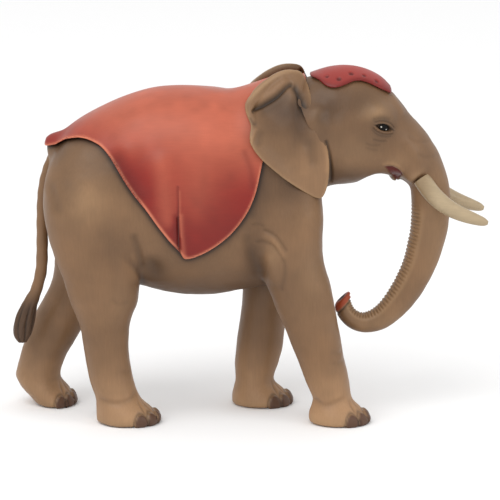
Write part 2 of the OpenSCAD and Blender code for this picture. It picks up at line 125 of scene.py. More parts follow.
TAIL = [
    (-82.5, 0, 124.3, 3.4, 3.2), (-86, 0, 120.3, 3.1, 3), (-89.1, 0, 114.9, 2.9, 2.8),
    (-91.6, 0, 107.3, 2.7, 2.7), (-92.9, 0, 98.8, 2.6, 2.6), (-93.4, 0, 88.3, 2.5, 2.5),
    (-93.5, 0, 76.3, 2.5, 2.6), (-94.1, 0, 65.8, 2.4, 2.6), (-96.4, 0, 56.8, 2.4, 2.6),
    (-99.4, 0, 49.9, 3, 3.3), (-101.9, 0, 42.5, 3.6, 4.1), (-103, 0, 36.3, 3.2, 3.7),
    (-102.9, 0, 32.5, 1.6, 1.8),
]
# left ear: x, y, z round the rim
EAR_RIM = [
    (28.5, 17, 139.3), (27.5, 13, 147.3), (25.7, 8, 153.7), (23.7, 7.6, 157.5), (20.4, 7.3, 159.2),
    (15, 7.4, 158.5), (10, 8.2, 156.3), (4.8, 9.6, 152.3), (0.8, 11.5, 149), (-1.9, 14.5, 146.4),
    (-2.3, 18.5, 144), (-1.3, 22.5, 140.9), (0, 25.3, 137.9), (-0.2, 28.4, 131.1), (3, 29.8, 124.7),
    (9.5, 29.4, 118.3), (17, 27, 111.9), (25, 23.8, 106.1), (31.2, 21.6, 103.3), (33.8, 20.4, 106.8),
    (35.3, 18.8, 114.3), (34.8, 18.2, 123.3), (33, 18.2, 133.3),
]
EAR_CENTRE = (18.5, 23, 133)
EAR_DISH = 1.8
EAR_THICKNESS = 2.4
# x, y, z, radius of the rolled edge
EAR_ROLL = [
    (22, 8, 156.5, 1), (18, 8.2, 156.9, 1.8), (13.5, 8.8, 156.1, 2.2), (8.5, 10.2, 153.3, 2.4),
    (4, 12.4, 149.7, 2.4), (1.2, 15.6, 146.3, 2.4), (0.2, 19.2, 143.5, 2), (0.8, 22.4, 140.5, 1.4),
    (2, 25, 137.1, 0.8),
]
# x, z along the cloth's hem and the cap's lower edge
HEM = [
    (-92, 123.3), (-86.6, 124.9), (-82, 127.9), (-77, 129.5), (-72.4, 129.7), (-67, 128.1),
    (-63.3, 125.1), (-60.3, 121.1), (-55.8, 113.9), (-51.3, 107.3), (-46.1, 100.7), (-40.9, 93.3),
    (-35.6, 86.1), (-31.5, 81.5), (-28.2, 77.9), (-23, 79.1), (-16.2, 82.9), (-8.8, 88.9),
    (-2.8, 96.3), (0.9, 103.1), (3.2, 109.9), (5.7, 121.3), (9, 133.3), (14, 143.3), (20, 149.9),
    (25, 153.5),
]
CAP_EDGE = [
    (26, 155.4), (30.3, 154.4), (33, 152.7), (36.3, 151.8), (39, 152.1), (42.3, 153.1),
    (45.5, 154.2), (48.8, 154.4), (52.7, 153.2), (56.5, 151.2), (60, 149.3), (63.5, 147.2),
]
CAP_DOTS = [
    (34.3, 8.5, 155.4), (39.4, 11, 155), (44.8, 8, 156.9), (50.4, 7.4, 155.6), (55.8, 7.4, 153.2),
]

LEGS = [(HIND_RIGHT, -1), (HIND_LEFT, 1), (FRONT_RIGHT, -1), (FRONT_LEFT, 1)]


# ---- joint planes ----


def facing(degrees):
    """The unit normal of a plane that faces this many degrees above +X."""
    a = math.radians(degrees)
    return math.cos(a), 0, math.sin(a)


def beyond(x, z, point, normal):
    """How far x, z lies past a plane."""
    return (x - point[0]) * normal[0] + (z - point[2]) * normal[2]


GLUE_X = -31.0
LEG_JOINT_Z = 55.5
NECK_POINT, NECK_NORMAL = (22, 0, 127), facing(24.4)
TRUNK_POINT, TRUNK_NORMAL = (80.9, 0, 99.5), facing(-78.0)
TRUNK_END, TRUNK_END_NORMAL = (41.2, 0, 53.3), facing(135.0)

# ---- curves, lofts and distance fields ----

X_WAY, Y_WAY, Z_WAY = np.eye(3)[:, None, :]


def curve(rows, k):
    """A smooth curve through the rows, k steps between neighbours, as the CAD draws it."""
    p = np.array(rows, float)
    n = len(p) - 1
    t = np.arange(k * n + 1) / k
    i = np.minimum(t.astype(int), n - 1)
    f = (t - i)[:, None]
    a, b, c, d = p[np.maximum(i - 1, 0)], p[i], p[i + 1], p[np.minimum(i + 2, n)]
    return b + 0.5 * f * ((c - a) + f * ((2 * a - 5 * b + 4 * c - d) + f * (3 * (b - c) + d - a)))


def rings(centres, us, vs, ru, rv, sides, power=1.0):
    """Rings of points round the centres, of half size ru along us and rv along vs."""
    a = np.arange(sides) * 2 * np.pi / sides
    c = np.sign(np.cos(a)) * np.abs(np.cos(a)) ** power
    s = np.sign(np.sin(a)) * np.abs(np.sin(a)) ** power
    return (
        centres[:, None, :]
        + us[:, None, :] * (ru[:, None] * c)[:, :, None]
        + vs[:, None, :] * (rv[:, None] * s)[:, :, None]
    )


def skin(r):
    """Points, quads and triangles of a closed skin over rings (count, sides, 3)."""
    m, n, _ = r.shape
    points = np.vstack([r.reshape(-1, 3), r[0].mean(0), r[-1].mean(0)])
    i = np.arange(m - 1)[:, None] * n
    j = np.arange(n)[None, :]
    k = (j + 1) % n
    quads = np.stack(np.broadcast_arrays(i + j, i + k, i + n + k, i + n + j), -1).reshape(-1, 4)
    j, k = j[0], k[0]
    first = np.stack([np.full(n, m * n), k, j], -1)
    last = np.stack([np.full(n, m * n + 1), (m - 1) * n + j, (m - 1) * n + k], -1)
    return points, quads, np.vstack([first, last])


def frames(p):
    """Unit directions along, across and off a swept curve."""
    q = p[:, :3]
    i = np.arange(len(q))
    along = q[np.minimum(i + 1, len(q) - 1)] - q[np.maximum(i - 1, 0)]
    along /= np.linalg.norm(along, axis=1)[:, None]
    across = np.array([0.0, 1.0, 0.0]) - along[:, 1:2] * along
    across /= np.linalg.norm(across, axis=1)[:, None]
    return along, across, np.cross(along, across)


def swept(rows, k, sides):
    p = curve(rows, k)
    _, across, off = frames(p)
    return rings(p[:, :3], across, off, p[:, 3], p[:, 4], sides)


def on_side(rows, side):
    return [(s[0], side * s[1], *s[2:]) for s in rows]


def barrel_rings():
    x, low, high, wide = curve(BARREL, 8).T
    centres = np.stack([x, np.zeros(len(x)), (low + high) / 2], -1)
    return rings(centres, Y_WAY, Z_WAY, wide * HALF_WIDTH, (high - low) / 2, 96, BARREL_POWER)


def leg_rings(rows, side):
    x, aside, z, long, wide = curve(rows, 8).T
    centres = np.stack([x, side * (STANCE + aside), z], -1)
    return rings(centres, X_WAY, Y_WAY, long, wide, 72)


def cell_corners(f):
    """The corners of a grid cell, and the weight of each for places f inside the cell."""
    for a in (0, 1):
        for b in (0, 1):
            for c in (0, 1):
                w = (f[:, 0] if a else 1 - f[:, 0]) * (f[:, 1] if b else 1 - f[:, 1])
                yield a, b, c, w * (f[:, 2] if c else 1 - f[:, 2])


class Field:
    """A distance field in millimetres on a box of grid points."""

    def __init__(self, low, high, pitch):
        self.low = np.array(low, float)
        self.pitch = pitch
        self.shape = tuple(int(v) + 1 for v in np.ceil((np.array(high) - self.low) / pitch))
        self.v = np.full(self.shape, FAR_OFF, np.float32)

    def axis(self, i):
        return (self.low[i] + self.pitch * np.arange(self.shape[i])).astype(np.float32)

    def loft(self, r):
        points, quads, tris = skin(r)
        grid = vdb.FloatGrid.createLevelSetFromPolygons(
            (points - self.low).astype(np.float32),
            triangles=tris.astype(np.uint32),
            quads=quads.astype(np.uint32),
            transform=vdb.createLinearTransform(voxelSize=self.pitch),
            halfWidth=REACH / self.pitch,
        )
        out = np.empty(self.shape, np.float32)
        grid.copyToArray(out)
        out[out > REACH - 0.01] = FAR_OFF
        out[out < 0.01 - REACH] = -FAR_OFF
        return out

    def part(self, low, high):
        """Slices of a smaller box, and its coordinates."""
        cut = []
        for i in range(3):
            a = int(max(0, math.floor((low[i] - self.low[i]) / self.pitch)))
            b = int(min(self.shape[i], math.ceil((high[i] - self.low[i]) / self.pitch) + 1))
            cut.append(slice(a, b))
        x = self.axis(0)[cut[0]][:, None, None]
        y = self.axis(1)[cut[1]][None, :, None]
        z = self.axis(2)[cut[2]][None, None, :]
        return tuple(cut), x, y, z

    def blob(self, centre, radii, k, pitch_turn=0.0, carve=False):
        """Joins a smooth ellipsoid, turned about Y, or carves it away."""
        r = max(radii) + k + 1
        cut, x, y, z = self.part([c - r for c in centre], [c + r for c in centre])
        x, y, z = x - centre[0], y - centre[1], z - centre[2]
        a = math.radians(pitch_turn)
        u, w = x * math.cos(a) + z * math.sin(a), z * math.cos(a) - x * math.sin(a)
        f = np.sqrt((u / radii[0]) ** 2 + (y / radii[1]) ** 2 + (w / radii[2]) ** 2) + 1e-6
        g = np.sqrt((u / radii[0] ** 2) ** 2 + (y / radii[1] ** 2) ** 2 + (w / radii[2] ** 2) ** 2) + 1e-6
        d = (f - 1) * f / g
        if carve:
            self.v[cut] = -join(-self.v[cut], d, k)
        else:
            self.v[cut] = join(self.v[cut], d, k)

    def blur(self, passes):
        for _ in range(passes):
            for i in range(3):
                v = np.swapaxes(self.v, 0, i)
                w = v.copy()
                w[1:-1] = 0.5 * v[1:-1] + 0.25 * (v[:-2] + v[2:])
                self.v = np.ascontiguousarray(np.swapaxes(w, 0, i))

    def at(self, p):
        """The field at points, by trilinear interpolation."""
        q = (p - self.low) / self.pitch
        i = np.clip(np.floor(q).astype(np.int64), 0, np.array(self.shape) - 2)
        f = (q - i).astype(np.float32)
        flat = self.v.reshape(-1)
        sy, sz = self.shape[1] * self.shape[2], self.shape[2]
        base = i[:, 0] * sy + i[:, 1] * sz + i[:, 2]
        out = np.zeros(len(p), np.float32)
        for a, b, c, w in cell_corners(f):
            out += w * flat[base + a * sy + b * sz + c]
        return out

    def slope(self, p):
        h = self.pitch
        return np.stack([self.at(p + d) - self.at(p - d) for d in np.eye(3) * h], -1) / (2 * h)

    def settle(self, p):
        """Points moved one step closer to the surface."""
        g = self.slope(p)
        return p - (self.at(p) / np.maximum((g * g).sum(1), 0.05))[:, None] * g

    def normal(self, p):
        g = self.slope(p)
        return g / np.maximum(np.linalg.norm(g, axis=1), 1e-6)[:, None]

    def mesh(self):
        grid = vdb.FloatGrid(REACH)
        grid.copyFromArray(np.clip(self.v, -REACH, REACH))
        points, quads = grid.convertToQuads(0.0)
        p = points.astype(float) * self.pitch + self.low
        for _ in range(2):
            p = self.settle(p)
        return p, quads.astype(np.int64)


def join(a, b, k):
    """The nearer of two fields, with a fillet of size k."""
    h = np.maximum(k - np.abs(a - b), 0) / k
    return np.minimum(a, b) - h * h * (k / 4)


def ramp(v, a, b):
    """0 at a, 1 at b, smooth between."""
    t = np.clip((v - a) / (b - a), 0, 1)
    return t * t * (3 - 2 * t)


def bell(v, width):
    """1 where v is 0, falling off smoothly on both sides."""
    return np.exp(-((v / width) ** 2))


def cloud(p, x, z, wide, tall):
    """1 at x, z and falling off smoothly round it, seen from the side."""
    return np.exp(-(((p[:, 0] - x) / wide) ** 2) - ((p[:, 2] - z) / tall) ** 2)


# ---- the hide: one smooth body, before it is cut at the joints ----

hide = Field(LOW, HIGH, PITCH)
hide.v = hide.loft(barrel_rings())
heights = hide.axis(2)[None, None, :]
hind_fillet = (2.0 + 7 * ramp(heights, 74, 98)).astype(np.float32)
front_fillet = (2.2 + 6 * ramp(heights, 80, 100)).astype(np.float32)
for (rows, side), k in zip(LEGS, (hind_fillet, hind_fillet, front_fillet, front_fillet)):
    hide.v = join(hide.v, hide.loft(leg_rings(rows, side)), k)
hide.v = join(hide.v, hide.loft(swept(HEAD, 8, 72)), 9)
# masses: shoulders, brows, roots of the tusks and ears, cheeks, lips and the tail's root
for side in (-1, 1):
    hide.blob((19, side * 17, 86), (12, 12.5, 22), 9, -14)
    hide.blob((55.5, side * 12.5, 139), (7, 4.5, 4.5), 6, -20)
    hide.blob((69, side * 8, 120), (8, 5.5, 6), 5, -35)
    hide.v = join(hide.v, hide.loft(swept(on_side(SHEATH, side), 8, 32)), 2.5)
    hide.blob((30, side * 17.5, 137), (5, 3.6, 6.5), 4)
hide.blob((44.5, 0, 121), (16, 16.5, 13.6), 7)
hide.v = join(hide.v, hide.loft(swept(LIP, 8, 32)), 1.2)
hide.blob((56, 0, 108.4), (6, 16, 3.8), 2, 12, carve=True)
hide.blob((65, 0, 110.4), (2.3, 4.2, 3), 1.5)
hide.blob((-85.5, 0, 121.2), (4.5, 4.2, 6.5), 5, 35)


def half_space(field, low, high, point, normal, k):
    """Cuts away what lies beyond a plane, inside a box."""
    cut, x, _, z = field.part(low, high)
    d = beyond(x, z, point, normal) + 0 * field.v[cut]
    field.v[cut] = -join(-field.v[cut], -d.astype(np.float32), k)


half_space(hide, (34, -8, 47), (50, 8, 62), TRUNK_END, TRUNK_END_NORMAL, 1.0)
hide.blob((40.6, 0, 54.2), (2.6, 2.4, 1.8), 1.0, 45, carve=True)
hide.blur(3)
cut, _, _, height = hide.part(LOW, (HIGH[0], HIGH[1], 4))
hide.v[cut] = -join(-hide.v[cut], (height + 0 * hide.v[cut]).astype(np.float32), 1.2)

calm = Field(LOW, HIGH, PITCH)
calm.v = np.ascontiguousarray(hide.v[::2, ::2, ::2]).clip(-REACH, REACH)
calm.pitch, calm.shape = 2 * PITCH, calm.v.shape
calm.blur(4)


def relief(p):
    """How far a point stands out from its neighbourhood: positive on ridges."""
    return calm.at(p) - hide.at(p)


# ---- seeded soft noise ----

rng = np.random.default_rng(11)
CELLS = 48
noise_grid = rng.standard_normal((CELLS, CELLS, CELLS)).astype(np.float32)


def noise(p, size):
    """Smooth noise of about unit strength, with lumps of the given size in mm."""
    q = p / size
    i = np.floor(q).astype(np.int64)
    f = q - i
    f = f * f * (3 - 2 * f)
    out = np.zeros(len(p))
    for a, b, c, w in cell_corners(f):
        out += w * noise_grid[(i[:, 0] + a) % CELLS, (i[:, 1] + b) % CELLS, (i[:, 2] + c) % CELLS]
    return out


# ---- strokes: carved creases and ridges along the surface, with painted shade and highlight, seen from the side ----


def near_line(p2, line):
    """Distance from 2-D points to a line, and how far each is from its ends."""
    best = np.full(len(p2), 1e9)
    end = np.zeros(len(p2))
    pts = curve(line, 6) if len(line) > 2 else np.array(line, float)
    seg = np.linalg.norm(np.diff(pts, axis=0), axis=1)
    total = seg.sum()
    run = 0.0
    for a, b, length in zip(pts[:-1], pts[1:], seg):
        ab = b - a
        t = np.clip(((p2 - a) @ ab) / max(length * length, 1e-9), 0, 1)
        d = np.linalg.norm(p2 - a - t[:, None] * ab, axis=1)
        closer = d < best
        best[closer] = d[closer]
        s = run + t[closer] * length
        end[closer] = np.minimum(s, total - s)
        run += length
    return best, end


def strokes(p, n, table):
    """Depth in mm and shade for each point, from (side, radius, depth, shade, line) rows: negative shade is
    painted shade, positive is painted highlight.

    The side is r for right, l for left and b for both.
    """
    depth = np.zeros(len(p))
    shade = np.zeros(len(p))
    for side, radius, cut, tone, line in table:
        arr = np.array(line, float)
        lo, hi = arr.min(0) - 3 * radius, arr.max(0) + 3 * radius
        ok = (p[:, 0] > lo[0]) & (p[:, 0] < hi[0]) & (p[:, 2] > lo[1]) & (p[:, 2] < hi[1])
        if side == "r":
            ok &= n[:, 1] < -0.02
        elif side == "l":
            ok &= n[:, 1] > 0.02
        idx = np.nonzero(ok)[0]
        if not len(idx):
            continue
        d, end = near_line(p[idx][:, (0, 2)], line)
        w = bell(d, radius) * ramp(end + 0.15 * radius, 0, 1.8 * radius)
        w *= ramp(np.abs(n[idx, 1]), 0.0, 0.35)
        depth[idx] += cut * w
        shade[idx] += tone * w
    return depth, shade


# ---- making Blender objects ----


def linear(rgb):
    c = np.array(rgb, float) / 255
    return np.where(c <= 0.04045, c / 12.92, ((c + 0.055) / 1.055) ** 2.4)


def rgba(colour):
    """Colours with an alpha of 1, in one row."""
    out = np.ones((len(colour), 4), np.float32)
    out[:, :3] = np.clip(colour, 0, 1)
    return out.ravel()


def make(name, points, mesh, colour, material, replaces=True):
    """A piece from a mesh, its points moved to these places in mm, with a colour for each point."""
    mesh.vertices.foreach_set("co", (np.asarray(points) * MM).astype(np.float32).ravel())
    mesh.name = name
    mesh.update()
    mesh.color_attributes.new("paint", "FLOAT_COLOR", "POINT").data.foreach_set("color", rgba(colour))
    mesh.color_attributes.active_color_index = 0
    mesh.shade_smooth()
    mesh.materials.append(material)
    obj = bpy.data.objects.new(name, mesh)
    bpy.context.scene.collection.objects.link(obj)
    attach(obj, "root")
    if replaces:
        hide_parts(name)
    return obj


def mix(a, b, t):
    return a + (b - a) * np.asarray(t)[:, None]


# ---- materials ----


def node(tree, kind, at, **inputs):
    n = tree.nodes.new(kind)
    n.location = at
    for key, value in inputs.items():
        setattr(n, key, value)
    return n


def painted(name, grain, grain_strength, mottle, roughness, coat=0.06, bump=0.12,
            rough_spread=0.12, shine=0.3):
    """Thin paint over carved wood: the paint layer, cloudy wash, wood grain along an axis, fine pores."""
    m = bpy.data.materials.new(name)
    m.use_nodes = True
    t = m.node_tree
    t.nodes.clear()
    out = node(t, "ShaderNodeOutputMaterial", (900, 0))
    shader = node(t, "ShaderNodeBsdfPrincipled", (600, 0))
    t.links.new(shader.outputs["BSDF"], out.inputs["Surface"])
    shader.inputs["Coat Weight"].default_value = coat
    shader.inputs["Coat Roughness"].default_value = 0.28
    shader.inputs["Specular IOR Level"].default_value = shine
    paint = node(t, "ShaderNodeAttribute", (-700, 250), attribute_name="paint")
    where = node(t, "ShaderNodeTexCoord", (-1300, 0))

    def field(scale, stretch, detail, at, distortion=0.0):
        place = node(t, "ShaderNodeMapping", (at[0] - 200, at[1]))
        place.inputs["Scale"].default_value = stretch
        t.links.new(where.outputs["Object"], place.inputs["Vector"])
        n = node(t, "ShaderNodeTexNoise", at)
        n.inputs["Scale"].default_value = scale
        n.inputs["Detail"].default_value = detail
        n.inputs["Distortion"].default_value = distortion
        t.links.new(place.outputs["Vector"], n.inputs["Vector"])
        return n.outputs["Fac"]

    def spread(value, low, high, at):
        r = node(t, "ShaderNodeMapRange", at)
        r.inputs["From Min"].default_value = 0.3
        r.inputs["From Max"].default_value = 0.7
        r.inputs["To Min"].default_value = low
        r.inputs["To Max"].default_value = high
        t.links.new(value, r.inputs["Value"])
        return r.outputs["Result"]

    def times(a, b, at):
        n = node(t, "ShaderNodeMath", at, operation="MULTIPLY")
        t.links.new(a, n.inputs[0])
        t.links.new(b, n.inputs[1])
        return n.outputs[0]

    streak = {"x": (0.07, 1, 1), "z": (1, 1, 0.07), "n": (1, 1, 1)}[grain]
    fibre = field(1500, streak, 5, (-900, -100), 0.3)
    cloud = field(55, (1, 1, 1), 4, (-900, -350), 0.6)
    pores = field(3200, streak, 3, (-900, -600))
    tone = times(
        spread(fibre, 1 - grain_strength, 1 + grain_strength, (-600, -100)),
        spread(cloud, 1 - mottle, 1 + mottle, (-600, -350)),
        (-400, -200),
    )
    tint = node(t, "ShaderNodeVectorMath", (0, 150), operation="SCALE")
    t.links.new(paint.outputs["Color"], tint.inputs[0])
    t.links.new(tone, tint.inputs["Scale"])
    t.links.new(tint.outputs["Vector"], shader.inputs["Base Color"])
    t.links.new(
        spread(cloud, roughness - rough_spread, roughness + rough_spread, (-300, -500)),
        shader.inputs["Roughness"],
    )
    if bump:
        b = node(t, "ShaderNodeBump", (300, -300))
        b.inputs["Strength"].default_value = bump
        b.inputs["Distance"].default_value = 0.0003
        t.links.new(times(fibre, pores, (0, -400)), b.inputs["Height"])
        t.links.new(b.outputs["Normal"], shader.inputs["Normal"])
    return m


MATERIALS = {
    "hide": painted("painted_hide", "z", 0.05, 0.06, 0.5),
    "cloth": painted("painted_red_cloth", "x", 0.035, 0.05, 0.44, coat=0.08),
    "cap": painted("painted_red_cap", "x", 0.03, 0.05, 0.44, coat=0.08),
    "ivory": painted("painted_ivory", "x", 0.05, 0.03, 0.4, coat=0.2),
    "eye": painted("painted_eye", "n", 0.0, 0.04, 0.5, coat=0.0, bump=0.0, rough_spread=0.03, shine=0.12),
}


def bare_wood():
    """Unpainted dowel wood: two tones in soft patches under the grain."""
    m = painted("dowel_beech", "x", 0.12, 0.1, 0.6, coat=0.0, bump=0.2)
    t = m.node_tree
    a = next(n for n in t.nodes if n.bl_idname == "ShaderNodeAttribute")
    grain = t.nodes.new("ShaderNodeTexNoise")
    grain.inputs["Scale"].default_value = 300
    tones = t.nodes.new("ShaderNodeValToRGB")
    tones.color_ramp.elements[0].color = (*linear((176, 132, 88)), 1)
    tones.color_ramp.elements[1].color = (*linear((206, 166, 120)), 1)
    where = next(n for n in t.nodes if n.bl_idname == "ShaderNodeTexCoord")
    t.links.new(where.outputs["Object"], grain.inputs["Vector"])
    t.links.new(grain.outputs[0], tones.inputs["Fac"])
    for link in list(a.outputs["Color"].links):
        t.links.new(tones.outputs["Color"], link.to_socket)
    t.nodes.remove(a)
    return m


# ---- colours ----

TAUPE = linear((118, 88, 61))
TAN = linear((168, 131, 96))
# painted shade, and also the darker paint of the head and of the tail's tuft
SHADE_AND_DARK_TONE = linear((48, 31, 20))
# painted highlight, and the paler inner strip of the trunk
LIGHT = linear((160, 128, 94))
NAIL = linear((74, 48, 36))
MAROON = linear((84, 20, 10))
RED_INSIDE = linear((150, 66, 38))
BLACK = linear((12, 9, 8))
IVORY = linear((162, 143, 114))
RED = linear((128, 25, 15))
DEEP_RED = linear((92, 9, 5))
HIGHLIGHT_ORANGE = linear((182, 98, 72))

# ---- carved lines of the hide with painted shade and highlight, (side, radius, depth, shade, line of x, z) ----

HIDE_STROKES = [
    # thigh against the belly
    ("b", 1.7, -0.9, -0.2, [(-52, 90), (-50.4, 84), (-49.1, 78.4), (-48.2, 70)]),
    ("b", 4.5, -1.8, -0.12, [(-44.5, 80), (-43, 73), (-42, 65)]),
    ("b", 2.0, 0.6, 0.08, [(-53, 80), (-51, 73), (-50.5, 65)]),
    # shoulder folds
    ("b", 0.7, -0.35, -0.1, [(0.4, 92.8), (3.5, 93.2), (7.1, 91.8)]),
    ("b", 0.8, -0.6, -0.14, [(5.3, 90.9), (9.7, 89), (12.8, 86.3), (16.5, 81)]),
    ("b", 1.6, 0.5, 0.08, [(4, 88.4), (9.3, 86.8), (12.8, 82.6), (15.1, 77)]),
    ("b", 0.9, -0.5, -0.12, [
        (1.8, 84.9), (6.2, 84.9), (10.2, 83.5), (13.7, 78.9), (15.5, 74.3), (15.1, 68.3), (13.7, 62),
    ]),
    ("b", 2.6, 0.7, 0.08, [(6, 81), (9, 77), (11, 70), (11.5, 64)]),
    ("r", 2.6, -1.0, -0.14, [(-1.5, 90), (0.5, 80), (3, 73), (5, 66)]),
    ("b", 1.6, -0.4, -0.08, [(1, 112), (2, 103), (1, 95)]),
    # buttock and thigh
    ("b", 2.5, -0.5, -0.12, [(-90, 112), (-86, 104), (-84, 96)]),
    ("b", 5.0, -0.5, -0.06, [(-66, 100), (-63, 86), (-64, 72)]),
    ("b", 1.2, -0.25, -0.06, [(-62, 60), (-58, 57), (-53, 58)]),
    # ankles
    ("r", 1.3, -0.6, -0.12, [(-68, 12), (-60, 11), (-54, 12), (-50, 15)]),
    ("r", 1.3, -0.6, -0.12, [(28, 12), (33, 9.8), (38, 11), (43, 13)]),
    ("l", 1.3, -0.5, -0.1, [(-5, 11), (2, 9.5), (9, 12)]),
    ("r", 1.2, -0.3, -0.08, [(-58, 26), (-55, 24), (-53, 25)]),
    # knee of the front legs
    ("r", 1.2, -0.35, -0.06, [(36, 35), (39, 33), (43, 34)]),
    ("r", 1.2, -0.3, -0.06, [(36, 30), (39, 28.5), (43, 29.5)]),
    # behind the cheek
    ("b", 0.7, -1.0, -0.45, [(33.4, 130), (35.2, 123), (36, 114), (36, 108)]),
    # temple, brow, cheek and eye socket
    ("b", 6.0, -1.5, -0.06, [(31, 147), (36, 141), (38, 133)]),
    ("b", 5.0, -1.0, -0.05, [(44, 146), (50, 143), (53, 138)]),
    ("b", 3.0, 0.8, 0.1, [(53, 142.5), (57, 142), (61, 139.5)]),
    ("b", 1.3, 0.4, 0.18, [(62.5, 147.5), (66, 143), (68.5, 138)]),
    ("b", 1.2, -0.6, -0.14, [(53.5, 137.8), (58, 139), (63, 137.5)]),
    ("b", 0.6, -0.3, -0.14, [(54, 129.6), (58, 128.4), (61, 128.6)]),
    ("b", 0.5, -0.25, -0.12, [(51, 128), (54, 126.8), (58, 126.8)]),
    ("b", 0.5, -0.2, -0.1, [(51, 126), (54, 124.8), (57, 124.6)]),
    ("b", 5.0, 0.8, 0.06, [(50, 122), (56, 120), (62, 118)]),
    ("b", 0.9, 0.4, 0.16, [(58, 117.2), (62, 117.9), (66, 116.4), (68.5, 113.5)]),
    ("b", 2.0, -0.5, -0.06, [(66, 128), (70, 122), (74, 118)]),
    # wrinkles across the trunk's root
    ("b", 0.8, -0.25, -0.06, [(70, 130), (76, 127), (81, 126)]),
    ("b", 0.8, -0.25, -0.06, [(74, 122), (79, 120), (85, 120)]),
]

# ---- cutting the hide at the joints ----


def mesh_arrays(mesh):
    """Points, face corner indices and face starts of a mesh."""
    points = np.empty(len(mesh.vertices) * 3, np.float32)
    mesh.vertices.foreach_get("co", points)
    corners = np.empty(len(mesh.loops), np.int32)
    mesh.loops.foreach_get("vertex_index", corners)
    starts = np.empty(len(mesh.polygons), np.int32)
    mesh.polygons.foreach_get("loop_start", starts)
    return points.reshape(-1, 3).astype(float), corners, starts


def mesh_from(name, points, corners, starts):
    mesh = bpy.data.meshes.new(name)
    mesh.vertices.add(len(points))
    mesh.vertices.foreach_set("co", np.asarray(points, np.float32).ravel())
    mesh.loops.add(len(corners))
    mesh.loops.foreach_set("vertex_index", np.asarray(corners, np.int32))
    mesh.polygons.add(len(starts))
    mesh.polygons.foreach_set("loop_start", np.asarray(starts, np.int32))
    mesh.update(calc_edges=True)
    return mesh


def quad_mesh(name, points, quads):
    return mesh_from(name, points, quads.ravel(), np.arange(len(quads)) * 4)


def between_legs(x):
    return (x > -42) & (x < -8)


def piece_names(mid):
    """Which piece each face centre belongs to."""
    x, y, z = mid.T
    past_neck = beyond(x, z, NECK_POINT, NECK_NORMAL) > 0
    past_joint = beyond(x, z, TRUNK_POINT, TRUNK_NORMAL) > 0
    names = np.where(x < GLUE_X, "body_rear_block", "body_front_block").astype("U20")
    leg = (z < LEG_JOINT_Z) & ~between_legs(x)
    for end, low, high in (("hind", -200, GLUE_X), ("front", GLUE_X, 200)):
        for side, sign in (("right", -1), ("left", 1)):
            names[leg & (x > low) & (x < high) & (y * sign > 0)] = f"leg_{end}_{side}"
    trunk = past_joint & ((x > 62) | ((x > 36) & (np.abs(y) < 6.2) & (z > 33)))
    names[past_neck & (z > 88) & ~trunk] = "head"
    names[trunk] = "trunk"
    return names


def cut_hide(mesh):
    """Yields each piece of the hide, open at its joints: name, points, mesh, colours, normals."""
    points, corners, starts = mesh_arrays(mesh)
    x, z = points[corners[starts], 0], points[corners[starts], 2]
    cuts = [
        (NECK_POINT, NECK_NORMAL, (x > 2) & (x < 52) & (z > 88)),
        (TRUNK_POINT, TRUNK_NORMAL, (x > 66) & (x < 100) & (z > 88) & (z < 106)),
        ((0, 0, LEG_JOINT_Z), (0, 0, 1), (x < 39.5) & (z > 50) & (z < 61) & ~between_legs(x)),
        ((GLUE_X, 0, 0), (1, 0, 0), (x > -36) & (x < -26) & (z > 52)),
    ]
    bm = bmesh.new()
    bm.from_mesh(mesh)
    bm.faces.ensure_lookup_table()
    groups = [[bm.faces[i] for i in np.nonzero(chosen)[0]] for _, _, chosen in cuts]
    for (point, normal, _), faces in zip(cuts, groups):
        parts = {v for f in faces for v in f.verts} | {e for f in faces for e in f.edges}
        bmesh.ops.bisect_plane(
            bm, geom=list(parts) + faces, dist=1e-4, plane_co=Vector(point), plane_no=Vector(normal)
        )
    bm.to_mesh(mesh)
    bm.free()
    points, corners, starts = mesh_arrays(mesh)
    colour, lie = read(mesh, "paint", 4)[:, :3], read(mesh, "lie", 3)
    bpy.data.meshes.remove(mesh)
    sizes = np.diff(np.append(starts, len(corners)))
    owner = np.repeat(np.arange(len(starts)), sizes)
    mid = np.stack([np.bincount(owner, points[corners, i]) / sizes for i in range(3)], -1)
    names = piece_names(mid)
    for name in sorted(set(names)):
        chosen = names == name
        kept = corners[chosen[owner]]
        used, index = np.unique(kept, return_inverse=True)
        part_sizes = sizes[chosen]
        part_starts = np.concatenate([[0], np.cumsum(part_sizes)[:-1]])
        yield name, points[used], mesh_from(name, points[used], index, part_starts), colour[used], lie[used]


def read(mesh, name, width):
    layer = mesh.attributes[name].data
    out = np.empty(len(layer) * width, np.float32)
    layer.foreach_get("color" if width == 4 else "vector", out)
    return out.reshape(-1, width)


def close(mesh):
    """Fills the open joint faces of a piece."""
    bm = bmesh.new()
    bm.from_mesh(mesh)
    left = {e for e in bm.edges if e.is_boundary}
    while left:
        todo = [left.pop()]
        loop = list(todo)
        while todo:
            for v in todo.pop().verts:
                for e in v.link_edges:
                    if e in left:
                        left.discard(e)
                        loop.append(e)
                        todo.append(e)
        bmesh.ops.triangle_fill(bm, edges=loop, use_beauty=True, use_dissolve=False)
    bmesh.ops.recalc_face_normals(bm, faces=bm.faces)
    bm.to_mesh(mesh)
    bm.free()


# ---- trunk ridges, toenails and the paint of the hide ----

TRUNK_STEPS = 12
TRUNK_FROM = TRUNK_STEPS * 7
RIDGES_FROM = TRUNK_STEPS * 8
RIDGE_PITCH = 1.9
RIDGE_DEPTH = 0.24
trunk_line = curve(HEAD, TRUNK_STEPS)
trunk_arc = np.concatenate([[0], np.cumsum(np.linalg.norm(np.diff(trunk_line[:, :3], axis=0), axis=1))])
trunk_along, _, trunk_off = frames(trunk_line)


